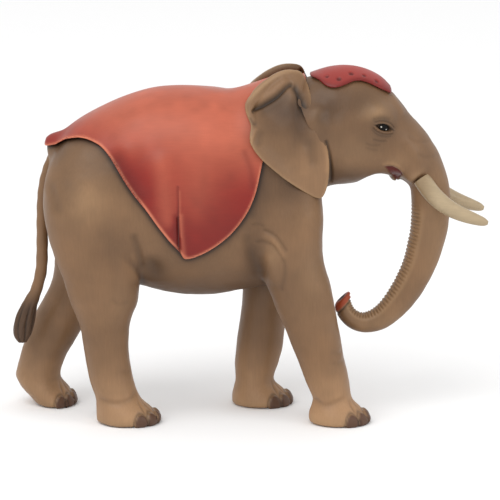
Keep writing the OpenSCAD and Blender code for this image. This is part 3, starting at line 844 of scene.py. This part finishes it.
def trunk_place(p):
    """Arc length, and offset from the inner side (-1) to the outer (1), at the nearest trunk section."""
    line = trunk_line[TRUNK_FROM:]
    best = np.full(len(p), 1e9)
    which = np.zeros(len(p), int)
    for i, s in enumerate(line):
        d = np.hypot(p[:, 0] - s[0], p[:, 2] - s[2])
        closer = d < best
        best[closer] = d[closer]
        which[closer] = i
    s = line[which]
    along, off = trunk_along[TRUNK_FROM:][which], trunk_off[TRUNK_FROM:][which]
    rel = p - s[:, :3]
    return trunk_arc[TRUNK_FROM:][which] + (rel * along).sum(1), (rel * off).sum(1) / s[:, 4]


def nails(p):
    """Raised toenails: depth, nail mask and rim mask for points of the feet; the rim mask marks the grooves
    round the nails and between the toes, where shade is painted.
    """
    depth, mask, rim = np.zeros(len(p)), np.zeros(len(p)), np.zeros(len(p))
    for rows, side in LEGS:
        x0, dy, _, a, b = rows[2]
        y0 = side * (STANCE + dy)
        sel = (np.abs(p[:, 0] - x0) < 24) & (np.abs(p[:, 1] - y0) < 16) & (p[:, 2] < 16)
        idx = np.nonzero(sel)[0]
        q = p[idx]
        turn = np.degrees(np.arctan2((q[:, 1] - y0) / b, (q[:, 0] - x0) / a))
        for centre in (-62, -36, -8, 20, 48):
            s = (turn - centre) * math.pi / 180 * (a + b) / 2
            e = np.sqrt((s / 3.1) ** 2 + ((q[:, 2] - 1.4) / 4.6) ** 2)
            inside = 1 - ramp(e, 0.82, 1.0)
            edge = bell(e - 1.08, 0.14)
            depth[idx] += 0.55 * inside - 0.4 * edge
            mask[idx] = np.maximum(mask[idx], inside)
            rim[idx] = np.maximum(rim[idx], edge)
        # grooves between the toes, running up from the nails
        for centre in (-49, -22, 6, 34):
            s = (turn - centre) * math.pi / 180 * (a + b) / 2
            w = bell(s, 0.9) * ramp(q[:, 2], 2, 6) * (1 - ramp(q[:, 2], 8, 13))
            depth[idx] -= 0.55 * w
            rim[idx] = np.maximum(rim[idx], 0.5 * w)
    return depth, mask, rim


def near_hem(p):
    """Distance from the line of the cloth's hem, large away from the cloth."""
    d = np.full(len(p), 99.0)
    idx = np.nonzero((p[:, 2] > 66) & (p[:, 0] < 22))[0]
    d[idx], _ = near_line(p[idx][:, (0, 2)], HEM)
    return d


# (x, z, half width, half height, strength): clouds of painted shade on the sides, partly the darker paint
# of the head, and clouds of painted highlight
HIDE_SHADE_CLOUDS = [
    (46, 134, 24, 22, 0.25), (40, 148, 18, 7, 0.3), (23, 146, 3, 6, 0.7), (38, 146, 16, 7, 0.3),
    (70, 142, 5, 8, 0.2), (56, 108, 9, 4, 0.2), (-95, 30, 20, 60, 0.16), (4, 40, 10, 60, 0.16),
    (32, 138, 5, 9, 0.35), (60, 131, 7, 6, 0.25), (58, 137.5, 8, 3, 0.2), (78, 118, 5, 12, 0.22),
    (-43, 71, 6, 8, 0.42), (2, 78, 5, 14, 0.4), (20, 112, 14, 10, 0.5), (4, 108, 8, 12, 0.3),
    (-20, 60, 34, 9, 0.3), (-64, 118, 14, 8, 0.25), (-62, 80, 10, 20, 0.14), (-80, 112, 5, 12, 0.12),
    (20, 100, 8, 10, 0.15), (38, 90, 4, 20, 0.15), (44, 112, 14, 3, 0.1),
]
HIDE_HIGHLIGHTS = [
    (55, 142, 6, 4, 0.55), (47, 124, 10, 7, 0.2), (-72, 104, 10, 10, 0.3), (-58, 60, 6, 10, 0.1),
    (10, 80, 4, 7, 0.25), (28, 70, 6, 12, 0.2), (83, 92, 6, 22, 0.25), (60, 44, 14, 5, 0.15),
    (64, 118, 4, 3, 0.25),
]


def hide_colour(p, n, shade, nail, rim):
    """The paint of the hide, with painted shade and painted highlights."""
    c = np.tile(TAUPE, (len(p), 1))
    foot = 1 - ramp(p[:, 2], 2, 34)
    leg = foot * (p[:, 0] < 60)
    c = mix(c, TAN, 0.75 * leg)
    # painted highlight on ridges and painted shade in hollows, from the relief
    out = relief(p)
    c = mix(c, LIGHT, 0.45 * ramp(out, 0.05, 0.7))
    c = mix(c, SHADE_AND_DARK_TONE, 0.85 * ramp(-out, 0.02, 0.6))
    # painted shade on the faces that look down
    underside_shade = ramp(-n[:, 2], 0.2, 1.0) * ramp(p[:, 2], 20, 50)
    c = mix(c, SHADE_AND_DARK_TONE, 0.35 * underside_shade)
    # clouds of painted highlight, then clouds of painted shade
    for tone, table in ((LIGHT, HIDE_HIGHLIGHTS), (SHADE_AND_DARK_TONE, HIDE_SHADE_CLOUDS)):
        for *place, strength in table:
            c = mix(c, tone, strength * cloud(p, *place))
    # painted shadow below the cloth's hem
    hem = near_hem(p)
    c = mix(c, SHADE_AND_DARK_TONE * 0.6, 0.75 * bell(hem, 1.6) + 0.25 * bell(hem, 5))
    c = c * (1 + 0.06 * noise(p, 14) + 0.04 * noise(p + 50, 5))[:, None]
    # painted shade in the carved creases and painted highlight on ridges, from the strokes and the eyelids
    c = np.clip(c * np.clip(1 + 1.4 * shade, 0.15, 1.6)[:, None], 0, 1)
    c = mix(c, NAIL, 0.9 * nail)
    # painted shade in the grooves round the nails and between the toes
    c = mix(c, BLACK, 0.5 * rim)
    return c


EYE = (59.2, 134.4)
EYE_TILT = math.radians(-20)
EYE_LONG, EYE_UP, EYE_DOWN = 4.0, 1.9, 1.3


def eye_place(p):
    """Position in the eye's own plane, forward and up, and its opening: below 1 inside."""
    dx, dz = p[:, 0] - EYE[0], p[:, 2] - EYE[1]
    u = dx * math.cos(EYE_TILT) + dz * math.sin(EYE_TILT)
    w = dz * math.cos(EYE_TILT) - dx * math.sin(EYE_TILT)
    tall = np.where(w > 0, EYE_UP, EYE_DOWN) * np.maximum(1 - (u / EYE_LONG) ** 2, 0.02)
    return u, w, np.maximum(np.abs(w) / tall, np.abs(u) / EYE_LONG)


def eyelids(p, n):
    """Depth and shade round the eyes: an almond opening with raised lids and folds, with painted shade in
    the opening, the folds, along the upper lid and round the socket, and painted highlight on the lids.
    """
    u, w, e = eye_place(p)
    near = np.hypot(u, w) < 9
    side_on = ramp(np.abs(n[:, 1]), 0.2, 0.6) * near
    gap = np.where(w > 0, EYE_UP, -EYE_DOWN) * np.maximum(1 - (u / (EYE_LONG + 0.6)) ** 2, 0)
    off = np.abs(w) - np.abs(gap)
    span = 1 - ramp(np.abs(u), EYE_LONG, EYE_LONG + 1.6)
    inside = (1 - ramp(e, 0.8, 1.05)) * side_on
    lid = bell(off - 0.45, 0.45) * span * side_on
    fold = bell(off - 1.35, 0.35) * span * side_on
    bag = bell(off - 2.4, 0.4) * span * side_on * (w < 0)
    depth = -1.3 * inside + 0.42 * lid * (1 - inside) - 0.28 * fold - 0.2 * bag
    line = bell(off, 0.35) * span * side_on
    shade = -0.35 * inside - 0.16 * fold - 0.12 * bag + 0.06 * lid * (1 - inside) - 0.45 * line * (w > 0)
    shade -= 0.1 * bell(np.hypot(u, w * 1.3) - 4.5, 1.6) * side_on
    return depth, shade


def refine(mesh, chosen, cuts):
    """Splits the edges that a test of their middles chooses."""
    points, _, _ = mesh_arrays(mesh)
    ends = np.empty(len(mesh.edges) * 2, np.int32)
    mesh.edges.foreach_get("vertices", ends)
    idx = np.nonzero(chosen(points[ends.reshape(-1, 2)].mean(1)))[0]
    bm = bmesh.new()
    bm.from_mesh(mesh)
    bm.edges.ensure_lookup_table()
    bmesh.ops.subdivide_edges(bm, edges=[bm.edges[i] for i in idx], cuts=cuts, use_grid_fill=True)
    bm.to_mesh(mesh)
    bm.free()


def on_hide(x, z, side):
    """The point of the hide's surface at x, z on one side."""
    ys = side * np.linspace(36, 0.5, 240)
    p = np.stack([np.full(240, x), ys, np.full(240, z)], -1)
    return p[int(np.argmax(hide.at(p) < 0))]


# x, z round the open mouth, seen from the side
MOUTH = [(60.2, 116.2), (63.4, 116.2), (66.6, 114.4), (67.6, 112.4), (65.7, 107.4)]


def inside_line(p, corners):
    """Distance in the XZ plane outside a convex outline with clockwise corners, negative inside."""
    c = np.array(corners, float)
    out = np.full(len(p), -1e9)
    for a, b in zip(c, np.roll(c, -1, axis=0)):
        d = (b - a) / np.linalg.norm(b - a)
        out = np.maximum(out, -d[1] * (p[:, 0] - a[0]) + d[0] * (p[:, 2] - a[1]))
    return out


def in_trunk(p):
    """Points of the trunk and of the head near it, away from the legs."""
    x, y, z = p.T
    return (x > 62) | ((x > 36) & (np.abs(y) < 6.2) & (z > 33) & (z < 80))


def carve_hide():
    """The whole painted hide as one mesh, with its colours and its normals stored on it."""
    points, quads = hide.mesh()
    mesh = quad_mesh("whole", points, quads)
    eyes = [on_hide(*EYE, side) for side in (-1, 1)]
    refine(mesh, lambda c: np.minimum(*[np.linalg.norm(c - e, axis=1) for e in eyes]) < 7.5, 2)
    refine(mesh, lambda c: in_trunk(c) & (c[:, 2] < 112), 1)
    points = hide.settle(mesh_arrays(mesh)[0])
    n = hide.normal(points)
    depth, shade = strokes(points, n, HIDE_STROKES)
    nail_depth, nail, rim = nails(points)
    depth += nail_depth
    depth += 0.10 * noise(points, 6) + 0.04 * noise(points + 9, 2.5)
    lid_depth, lid_shade = eyelids(points, n)
    depth += lid_depth
    colour = hide_colour(points, n, shade + lid_shade, nail, rim)
    inside_mouth = 1 - ramp(inside_line(points, MOUTH), -0.1, 0.35)
    depth -= 0.6 * inside_mouth
    colour = mix(colour, MAROON, inside_mouth)
    idx = np.nonzero(in_trunk(points) & (points[:, 2] < 116))[0]
    arc, off = trunk_place(points[idx])
    start = trunk_arc[RIDGES_FROM]
    # the ridged inner strip is paler, with painted shade in its grooves and a painted highlight along its
    # edge line
    inner = ramp(-off, 0.45, 0.8) * ramp(arc, start, start + 8)
    wave = np.sin(arc * 2 * math.pi / RIDGE_PITCH)
    depth[idx] += RIDGE_DEPTH * inner * wave
    colour[idx] = mix(colour[idx], LIGHT, 0.35 * inner)
    colour[idx] = mix(colour[idx], SHADE_AND_DARK_TONE, 0.3 * inner * ramp(-wave, 0, 1))
    edge_line = bell(-off - 0.5, 0.14) * ramp(arc, start, start + 8)
    colour[idx] = mix(colour[idx], LIGHT, 0.4 * edge_line)
    tip = np.array(TRUNK_END, float)
    from_tip = np.linalg.norm(points - tip, axis=1)
    face = (n[:, 0] * TRUNK_END_NORMAL[0] + n[:, 2] * TRUNK_END_NORMAL[2]) * (from_tip < 6)
    from_end = -(points - tip) @ np.array(TRUNK_END_NORMAL)
    at_end = (from_tip < 8) & (points[:, 0] < 46)
    opening = np.maximum(ramp(face, 0.3, 0.7), at_end * (1 - ramp(from_end, 2.2, 3.4)))
    colour = mix(colour, RED_INSIDE, opening)
    # a groove round the opening, with painted shade in it
    ring = at_end * bell(from_end - 3.6, 0.5)
    depth -= 0.35 * ring
    colour = mix(colour, SHADE_AND_DARK_TONE, 0.7 * ring)
    # the nostril's hollow painted black as shade
    nostril = np.linalg.norm(points - tip + np.array([-0.4, 0, 0.5]), axis=1)
    colour = mix(colour, BLACK, 0.9 * (1 - ramp(nostril, 1.9, 2.8)) * at_end)
    depth[points[:, 2] < 0.05] = 0
    points = points + n * depth[:, None]
    points[:, 2] = np.maximum(points[:, 2], 0)
    mesh.vertices.foreach_set("co", points.astype(np.float32).ravel())
    mesh.update()
    normals = np.empty(len(points) * 3, np.float32)
    mesh.vertex_normals.foreach_get("vector", normals)
    mesh.attributes.new("paint", "FLOAT_COLOR", "POINT").data.foreach_set("color", rgba(colour))
    mesh.attributes.new("lie", "FLOAT_VECTOR", "POINT").data.foreach_set("vector", normals)
    return mesh


for name, points, mesh, colour, lie in cut_hide(carve_hide()):
    close(mesh)
    piece = make(name, points, mesh, colour, MATERIALS["hide"])
    piece.data.normals_split_custom_set_from_vertices(lie.tolist())


def skinned(name, r, colours, material, replaces=True):
    """A piece that is a closed skin over rings, coloured by its points."""
    points, quads, tris = skin(r)
    corners = np.concatenate([quads.ravel(), tris.ravel()])
    starts = np.concatenate([np.arange(len(quads)) * 4, quads.size + np.arange(len(tris)) * 3])
    mesh = mesh_from(name, points, corners, starts)
    make(name, points, mesh, colours(points), material, replaces)
    bm = bmesh.new()
    bm.from_mesh(mesh)
    bmesh.ops.recalc_face_normals(bm, faces=bm.faces)
    bm.to_mesh(mesh)
    bm.free()


# ---- eyes: painted balls behind the lids ----

EYE_RADIUS = 4.2
GLINT = linear((216, 210, 200))


def eye_colour(p):
    u, w, _ = eye_place(p)
    c = np.tile(linear((60, 44, 32)), (len(p), 1))
    c = mix(c, linear((16, 9, 6)), 1 - ramp(np.hypot((u - 0.4) / 1.3, w - 0.2), 2.0, 2.4))
    c = mix(c, BLACK, 1 - ramp(np.hypot(u - 0.5, w - 0.3), 1.6, 2.1))
    c = mix(c, GLINT, 1 - ramp(np.hypot(u + 1.3, w - 0.2), 0.15, 0.45))
    return mix(c, GLINT, 1 - ramp(np.hypot(u - 1.3, w + 0.3), 0.1, 0.35))


def eyeball(name, side):
    at = on_hide(*EYE, side)
    n = hide.normal(at[None])[0]
    centre = at - n * (EYE_RADIUS + 0.1)
    lat = np.linspace(0.02, 1.2, 28)
    lon = np.arange(64) * 2 * np.pi / 64
    aside = np.cross(n, [0, 0, 1])
    aside /= np.linalg.norm(aside)
    up = np.cross(aside, n)
    ball = (
        centre
        + n * (EYE_RADIUS * np.cos(lat))[:, None, None]
        + aside * (EYE_RADIUS * np.sin(lat)[:, None] * np.cos(lon))[:, :, None]
        + up * (EYE_RADIUS * np.sin(lat)[:, None] * np.sin(lon))[:, :, None]
    )
    skinned(name, ball, eye_colour, MATERIALS["eye"], replaces=False)


eyeball("eye_right", -1)
eyeball("eye_left", 1)

# ---- saddle cloth and cap: shells that lie on the hide ----


ABOVE_ALL = 170
EAR_OUTLINE = curve(EAR_RIM + EAR_RIM[:1], 8)[:-1]


def polygon_distance(field, line):
    """Signed distance in the XZ plane to the region above a line: negative inside."""
    edge = curve(line, 4)
    x, z = field.axis(0).astype(float), field.axis(2).astype(float)
    gx, gz = np.meshgrid(x, z, indexing="ij")
    q = np.stack([gx.ravel(), gz.ravel()], -1)
    d, _ = near_line(q, [tuple(v) for v in edge[::2]])
    poly = np.vstack([edge, [[edge[-1, 0], ABOVE_ALL], [edge[0, 0], ABOVE_ALL]]])
    inside = np.zeros(len(q), bool)
    for (x0, z0), (x1, z1) in zip(poly, np.roll(poly, -1, axis=0)):
        if z0 == z1:
            continue
        crosses = (z0 > q[:, 1]) != (z1 > q[:, 1])
        inside ^= crosses & (q[:, 0] < (x1 - x0) * (q[:, 1] - z0) / (z1 - z0) + x0)
    return np.where(inside, -d, d).reshape(gx.shape).astype(np.float32)


base = Field(LOW, HIGH, PITCH)
base.v = hide.v.copy()
base.blur(4)


def under_ears(field, gap):
    """How far points stand out past the ears' middle surface, inside the ears' outline."""
    c = np.array(EAR_CENTRE, float)
    gx, gz = np.meshgrid(field.axis(0) - c[0], field.axis(2) - c[2], indexing="ij")
    turn = np.arctan2(EAR_OUTLINE[:, 2] - c[2], EAR_OUTLINE[:, 0] - c[0])
    rim = EAR_OUTLINE[np.argsort(turn)]
    turn = np.sort(turn)
    here = np.arctan2(gz, gx)
    reach = np.interp(here, turn, np.hypot(rim[:, 0] - c[0], rim[:, 2] - c[2]), period=2 * np.pi)
    rim_y = np.interp(here, turn, rim[:, 1], period=2 * np.pi)
    r = np.hypot(gx, gz) / reach
    y = c[1] + np.minimum(r, 1) ** EAR_DISH * (rim_y - c[1]) - gap
    y = np.where(r < 1.03, y, 99).astype(np.float32)
    return np.abs(field.axis(1))[None, :, None] - y[:, None, :]


def shell(line, outer, inner):
    """A shell between two distances from the hide, inside the region above a line."""
    f = Field(LOW, HIGH, PITCH)
    region = polygon_distance(f, line)[:, None, :]
    lift = 0.9 * np.exp(np.minimum(region, 0) / 2.2)
    f.v = -join(-(base.v - outer - 0.5 * lift), (base.v - inner - lift), 0.7)
    f.v = -join(-f.v, -region + 0 * f.v, 0.9)
    f.v = np.maximum(f.v, under_ears(f, 1.2))
    f.blur(1)
    return f, region[:, 0, :]


CLOTH_STROKES = [
    # the pleat, its shaded side and the ridges beside it
    ("b", 0.35, -0.6, -0.3, [(-31.8, 112), (-31.6, 100), (-31.4, 77)]),
    ("b", 0.6, -0.7, -0.3, [(-31.8, 98), (-31.6, 90), (-31.4, 77)]),
    ("b", 1.6, -0.5, -0.16, [(-32.6, 100), (-32.4, 90), (-32.2, 80)]),
    ("b", 0.5, 0.3, 0.2, [(-31, 110), (-30.9, 98), (-30.6, 88)]),
    ("b", 1.0, 0.6, 0.2, [(-30.4, 100), (-30, 90), (-28.8, 76)]),
    ("b", 4.2, 0.8, 0.16, [(-39.5, 128), (-37.5, 108), (-36, 90)]),
    ("b", 4.2, -1.3, -0.2, [(-63, 127), (-57, 119), (-50.5, 109), (-46, 101)]),
    ("b", 5.0, 0.8, 0.06, [(-62, 134), (-54, 129), (-47, 124)]),
    ("b", 8.0, -0.5, -0.05, [(-8, 125), (-12, 108), (-20, 94)]),
    ("b", 5.0, 0.4, 0.04, [(-18, 122), (-21, 106), (-25, 92)]),
    ("b", 1.6, -0.4, -0.12, [(-3, 128), (0.5, 118), (1.5, 108)]),
]


def cloth_piece(name, line, outer, inner, table, colours, material):
    """The saddle cloth or the cap: a shell, its carved strokes and its paint."""
    f, region = shell(line, outer, inner)
    points, quads = f.mesh()
    n = f.normal(points)
    depth, shade = strokes(points, n, table)
    out = (base.normal(points) * n).sum(1)
    depth *= ramp(out, 0.2, 0.7)
    if name == "head_cap":
        depth -= 0.5 * cap_dots(points)
    x = np.clip((points[:, 0] - LOW[0]) / PITCH, 0, region.shape[0] - 1).astype(int)
    z = np.clip((points[:, 2] - LOW[2]) / PITCH, 0, region.shape[1] - 1).astype(int)
    colour = colours(points, n, shade, region[x, z], out)
    mesh = quad_mesh(name, points, quads)
    make(name, points + n * depth[:, None], mesh, colour, material)


def cloth_colour(p, n, shade, edge, out):
    c = np.tile(RED, (len(p), 1))
    # painted highlight: orange towards the top and the front, and on the ridge behind the pleat
    c = mix(c, HIGHLIGHT_ORANGE, 0.75 * ramp(p[:, 2] + 0.2 * p[:, 0] + 14, 118, 146))
    c = mix(c, HIGHLIGHT_ORANGE, 0.4 * cloud(p, -24, 112, 14, 16))
    # painted shade: deeper red towards the bottom
    c = mix(c, DEEP_RED, 0.42 * ramp(126 - p[:, 2], 0, 42))
    # painted highlight along the hem's outer edge, and painted shade on the faces turned in under it
    rim = np.exp(-((edge + 0.2) ** 2) / 0.5)
    c = mix(c, linear((214, 128, 96)), 0.8 * rim * ramp(out, -0.6, 0.3))
    c = mix(c, DEEP_RED * 0.4, 0.8 * ramp(-out, 0.1, 0.6))
    # painted shade in the carved folds and painted highlight on their ridges
    c = mix(c, DEEP_RED * 0.7, np.clip(-2.4 * shade, 0, 0.95))
    c = mix(c, HIGHLIGHT_ORANGE, np.clip(2.0 * shade, 0, 0.6))
    return c * (1 + 0.05 * noise(p, 12) + 0.04 * noise(p + 40, 4))[:, None]


def cap_dots(p):
    """1 at the middle of the cap's small punched dots."""
    folded = np.stack([p[:, 0], np.abs(p[:, 1]), p[:, 2]], -1)
    w = np.zeros(len(p))
    for dot in CAP_DOTS:
        w = np.maximum(w, 1 - ramp(np.linalg.norm(folded - dot, axis=1), 0.9, 1.6))
    return w


def cap_colour(p, n, shade, edge, out):
    c = np.tile(linear((128, 36, 31)), (len(p), 1))
    c = mix(c, DEEP_RED, 0.6 * np.exp(-((edge + 0.6) ** 2) / 1.2))
    # painted highlight on the faces turned up
    c = mix(c, linear((172, 70, 60)), 0.4 * ramp(n[:, 2], 0.6, 1))
    c = c * (1 + 0.04 * noise(p, 8))[:, None]
    return mix(np.clip(c, 0, 1), DEEP_RED * 0.7, 0.85 * cap_dots(p))


cloth_piece("saddle_cloth", HEM, 1.7, -1.2, CLOTH_STROKES, cloth_colour, MATERIALS["cloth"])
cloth_piece("head_cap", CAP_EDGE, 1.5, -1.0, (), cap_colour, MATERIALS["cap"])

# ---- ears ----


def ear_ring(r, t):
    """A ring of the dished ear at a share r of its outline, lifted by t."""
    c = np.array(EAR_CENTRE, float)
    out = c + (EAR_OUTLINE - c) * r
    out[:, 1] = c[1] + r**EAR_DISH * (EAR_OUTLINE[:, 1] - c[1]) + t
    return out


# (x, z, half width, half height, strength): painted shade in the ear's hollow, below its rolled edge
EAR_SHADE_CLOUDS = [(15, 143, 10, 6, 0.65), (22, 137, 6, 9, 0.6), (10, 136, 6, 5, 0.25), (16, 128, 16, 14, 0.14)]

EAR_STROKES = [
    # the crease under the rolled edge, with painted shade
    ("b", 0.9, -1.1, -0.5, [(0.5, 142.5), (5, 144.6), (11, 148.2), (16, 152.5), (19, 154)]),
    ("b", 2.4, -0.5, -0.22, [(3, 141.5), (8, 144), (14, 148), (18, 151)]),
    ("b", 1.5, -1.3, -0.55, [(18.5, 154), (21.5, 149.5), (24, 143.5), (27, 138), (29.5, 135)]),
    ("b", 3.0, -0.6, -0.24, [(19, 150), (21.5, 144), (24, 138)]),
    ("b", 1.6, 0.6, 0.1, [(2, 145.5), (7, 149), (12, 152.5), (17, 156)]),
    # the rear lobe and its rim
    ("b", 0.8, -0.5, -0.3, [(-0.5, 141), (1, 138.5), (3.5, 137.6)]),
    ("b", 0.8, 0.5, 0.2, [(3, 136.5), (1.4, 133), (0.3, 128.6), (1.5, 126.6)]),
    ("b", 1.6, -0.4, -0.14, [(5.5, 136), (4, 131), (3.6, 127.5)]),
    # soft folds of the lower panel
    ("b", 2.4, -0.6, -0.16, [(26, 132), (27.5, 125), (28.5, 117)]),
    ("b", 2.5, 0.5, 0.1, [(22, 130), (24, 121), (25, 112)]),
    ("b", 1.0, 0.4, 0.14, [(32, 130), (34, 122), (34, 114)]),
    ("b", 4.0, -0.4, -0.06, [(8, 132), (12, 126), (18, 119)]),
]


def ear(name, side):
    low = (-6, 3, 100) if side > 0 else (-6, -34, 100)
    high = (39, 34, 163) if side > 0 else (39, -3, 163)
    f = Field(low, high, EAR_PITCH)
    shares = np.sin(np.pi / 2 * np.arange(1, 25) / 24)
    half = EAR_THICKNESS / 2 * np.sqrt(1 - 0.9 * shares**6)
    outer = [ear_ring(r, t) for r, t in zip(shares, half)]
    inner = [ear_ring(r, -t) for r, t in zip(shares[::-1], half[::-1])]
    flip = np.array([1, side, 1])
    f.v = f.loft(np.array(outer + inner) * flip)
    roll = [(x, y, z, r, r) for x, y, z, r in EAR_ROLL]
    f.v = join(f.v, f.loft(swept(roll, 8, 32) * flip), 1.2)
    f.blur(2)
    points, quads = f.mesh()
    n = f.normal(points)
    depth, shade = strokes(points, n, EAR_STROKES)
    face = ramp(n[:, 1] * side, 0.1, 0.5)
    depth *= face
    colour = np.tile(TAUPE, (len(points), 1))
    colour = mix(colour, TAN, 0.2 * ramp(140 - points[:, 2], 0, 30))
    for *place, strength in EAR_SHADE_CLOUDS:
        w = cloud(points, *place)
        w = w * ramp(n[:, 1] * side, 0, 0.4) * (1 - ramp(points[:, 2] - 0.72 * points[:, 0], 141.6, 143.2))
        colour = mix(colour, SHADE_AND_DARK_TONE, strength * w)
    # painted highlight along the ear's rim
    rim, _ = near_line(points[:, (0, 2)], [(r[0], r[2]) for r in EAR_RIM + EAR_RIM[:1]])
    colour = mix(colour, LIGHT, 0.6 * bell(rim, 1.1))
    # painted shade on the back of the ear
    colour = mix(colour, SHADE_AND_DARK_TONE, 0.5 * ramp(-n[:, 1] * side, 0.0, 0.6))
    colour *= (1 + 0.05 * noise(points, 9))[:, None]
    # painted shade and highlight of the strokes
    colour *= np.clip(1 + 1.4 * shade * face, 0.12, 1.6)[:, None]
    points = points + n * (depth + 0.08 * noise(points, 4))[:, None]
    make(name, points, quad_mesh(name, points, quads), colour, MATERIALS["hide"])


ear("ear_right", -1)
ear("ear_left", 1)

# ---- tusks and tail ----


def tusk_colour(p):
    c = np.tile(IVORY, (len(p), 1))
    c = mix(c, linear((120, 96, 66)), 0.6 * ramp(84 - p[:, 0], 0, 8))
    return c * (1 + 0.04 * noise(p * np.array([0.25, 1, 1]), 1.2))[:, None]


for name, side in (("tusk_right", -1), ("tusk_left", 1)):
    tusk = swept(on_side(TUSK, side), 12, 48)
    skinned(name, tusk, tusk_colour, MATERIALS["ivory"])

tail_rings = swept(TAIL, 16, 64)
tail_mid = tail_rings.mean(1, keepdims=True)
tail_arc = np.arange(len(tail_rings))[:, None] / 16
tail_turn = np.arange(64)[None, :] * 2 * math.pi / 64
tuft = ramp(tail_arc, 8.4, 9.6)
strand = np.abs(np.sin(3.5 * (tail_turn + 0.16 * tail_arc))) ** 0.6 - 0.6
fine_strand = np.abs(np.sin(8 * (tail_turn - 0.1 * tail_arc))) - 0.5
swell = 1 + tuft * (0.26 * strand + 0.06 * fine_strand) + 0.03 * np.sin(tail_arc * 9) * (1 - tuft)
tail_rings = tail_mid + (tail_rings - tail_mid) * swell[:, :, None]


def tail_colour(p):
    c = np.tile(TAUPE, (len(p), 1))
    count = tail_rings.shape[0] * tail_rings.shape[1]
    deep = np.zeros(len(p))
    # painted shade in the grooves between the tuft's strands
    deep[:count] = (tuft * ramp(-strand, -0.1, 0.5)).ravel()
    c = mix(c, SHADE_AND_DARK_TONE, 0.75 * ramp(60 - p[:, 2], 0, 12))
    c = mix(c, BLACK, 0.7 * deep)
    return c * (1 + 0.05 * noise(p, 4))[:, None]


skinned("tail", tail_rings, tail_colour, MATERIALS["hide"])

# ---- dowels keep their CAD shape ----

wood = bare_wood()
for name in ("body_dowels", "leg_dowels", "neck_dowels", "trunk_dowel"):
    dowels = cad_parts[name].data
    dowels.materials.clear()
    dowels.materials.append(wood)

# ---- floor, light and camera ----

TARGET = Vector((0, 0, 0.0752))
ELEVATION = math.radians(13)
DISTANCE = 1.75
SENSOR = 36
VIEW_WIDTH = 0.225
FLOOR_HALF = 8.0
SKY_STRENGTH = 0.95
LIT_POINT = (0, 0, 0.08)


def plain(name, rgb):
    m = bpy.data.materials.new(name)
    m.use_nodes = True
    shader = m.node_tree.nodes["Principled BSDF"]
    shader.inputs["Base Color"].default_value = (*rgb, 1)
    shader.inputs["Roughness"].default_value = 0.9
    shader.inputs["Specular IOR Level"].default_value = 0.1
    return m


floor_mesh = bpy.data.meshes.new("floor")
corners = [(x * FLOOR_HALF, y * FLOOR_HALF, 0) for x, y in ((-1, -1), (1, -1), (1, 1), (-1, 1))]
floor_mesh.from_pydata(corners, [], [(0, 1, 2, 3)])
floor = bpy.data.objects.new("floor", floor_mesh)
floor_mesh.materials.append(plain("pale_floor", (0.93, 0.93, 0.93)))
bpy.context.scene.collection.objects.link(floor)

scene = bpy.context.scene
scene.view_settings.view_transform = "Standard"
world = bpy.data.worlds.new("studio")
scene.world = world
world.use_nodes = True
sky = world.node_tree.nodes["Background"].inputs
sky["Color"].default_value = (1, 1, 1, 1)
sky["Strength"].default_value = SKY_STRENGTH


def area(name, at, size, power):
    data = bpy.data.lights.new(name, "AREA")
    data.shape = "DISK"
    data.size = size
    data.energy = power
    o = bpy.data.objects.new(name, data)
    o.location = at
    o.rotation_euler = (Vector(LIT_POINT) - Vector(at)).to_track_quat("-Z", "Y").to_euler()
    scene.collection.objects.link(o)


area("key", (-0.55, -0.8, 1.25), 1.4, 11)
area("side", (1.2, -0.7, 0.7), 0.7, 3)

camera_data = bpy.data.cameras.new("camera")
camera_data.sensor_width = SENSOR
camera_data.lens = SENSOR * DISTANCE / VIEW_WIDTH
camera = bpy.data.objects.new("camera", camera_data)
back = Vector((0, -math.cos(ELEVATION), math.sin(ELEVATION)))
camera.location = TARGET + back * DISTANCE
camera.rotation_euler = (-back).to_track_quat("-Z", "Y").to_euler()
scene.collection.objects.link(camera)
scene.camera = camera
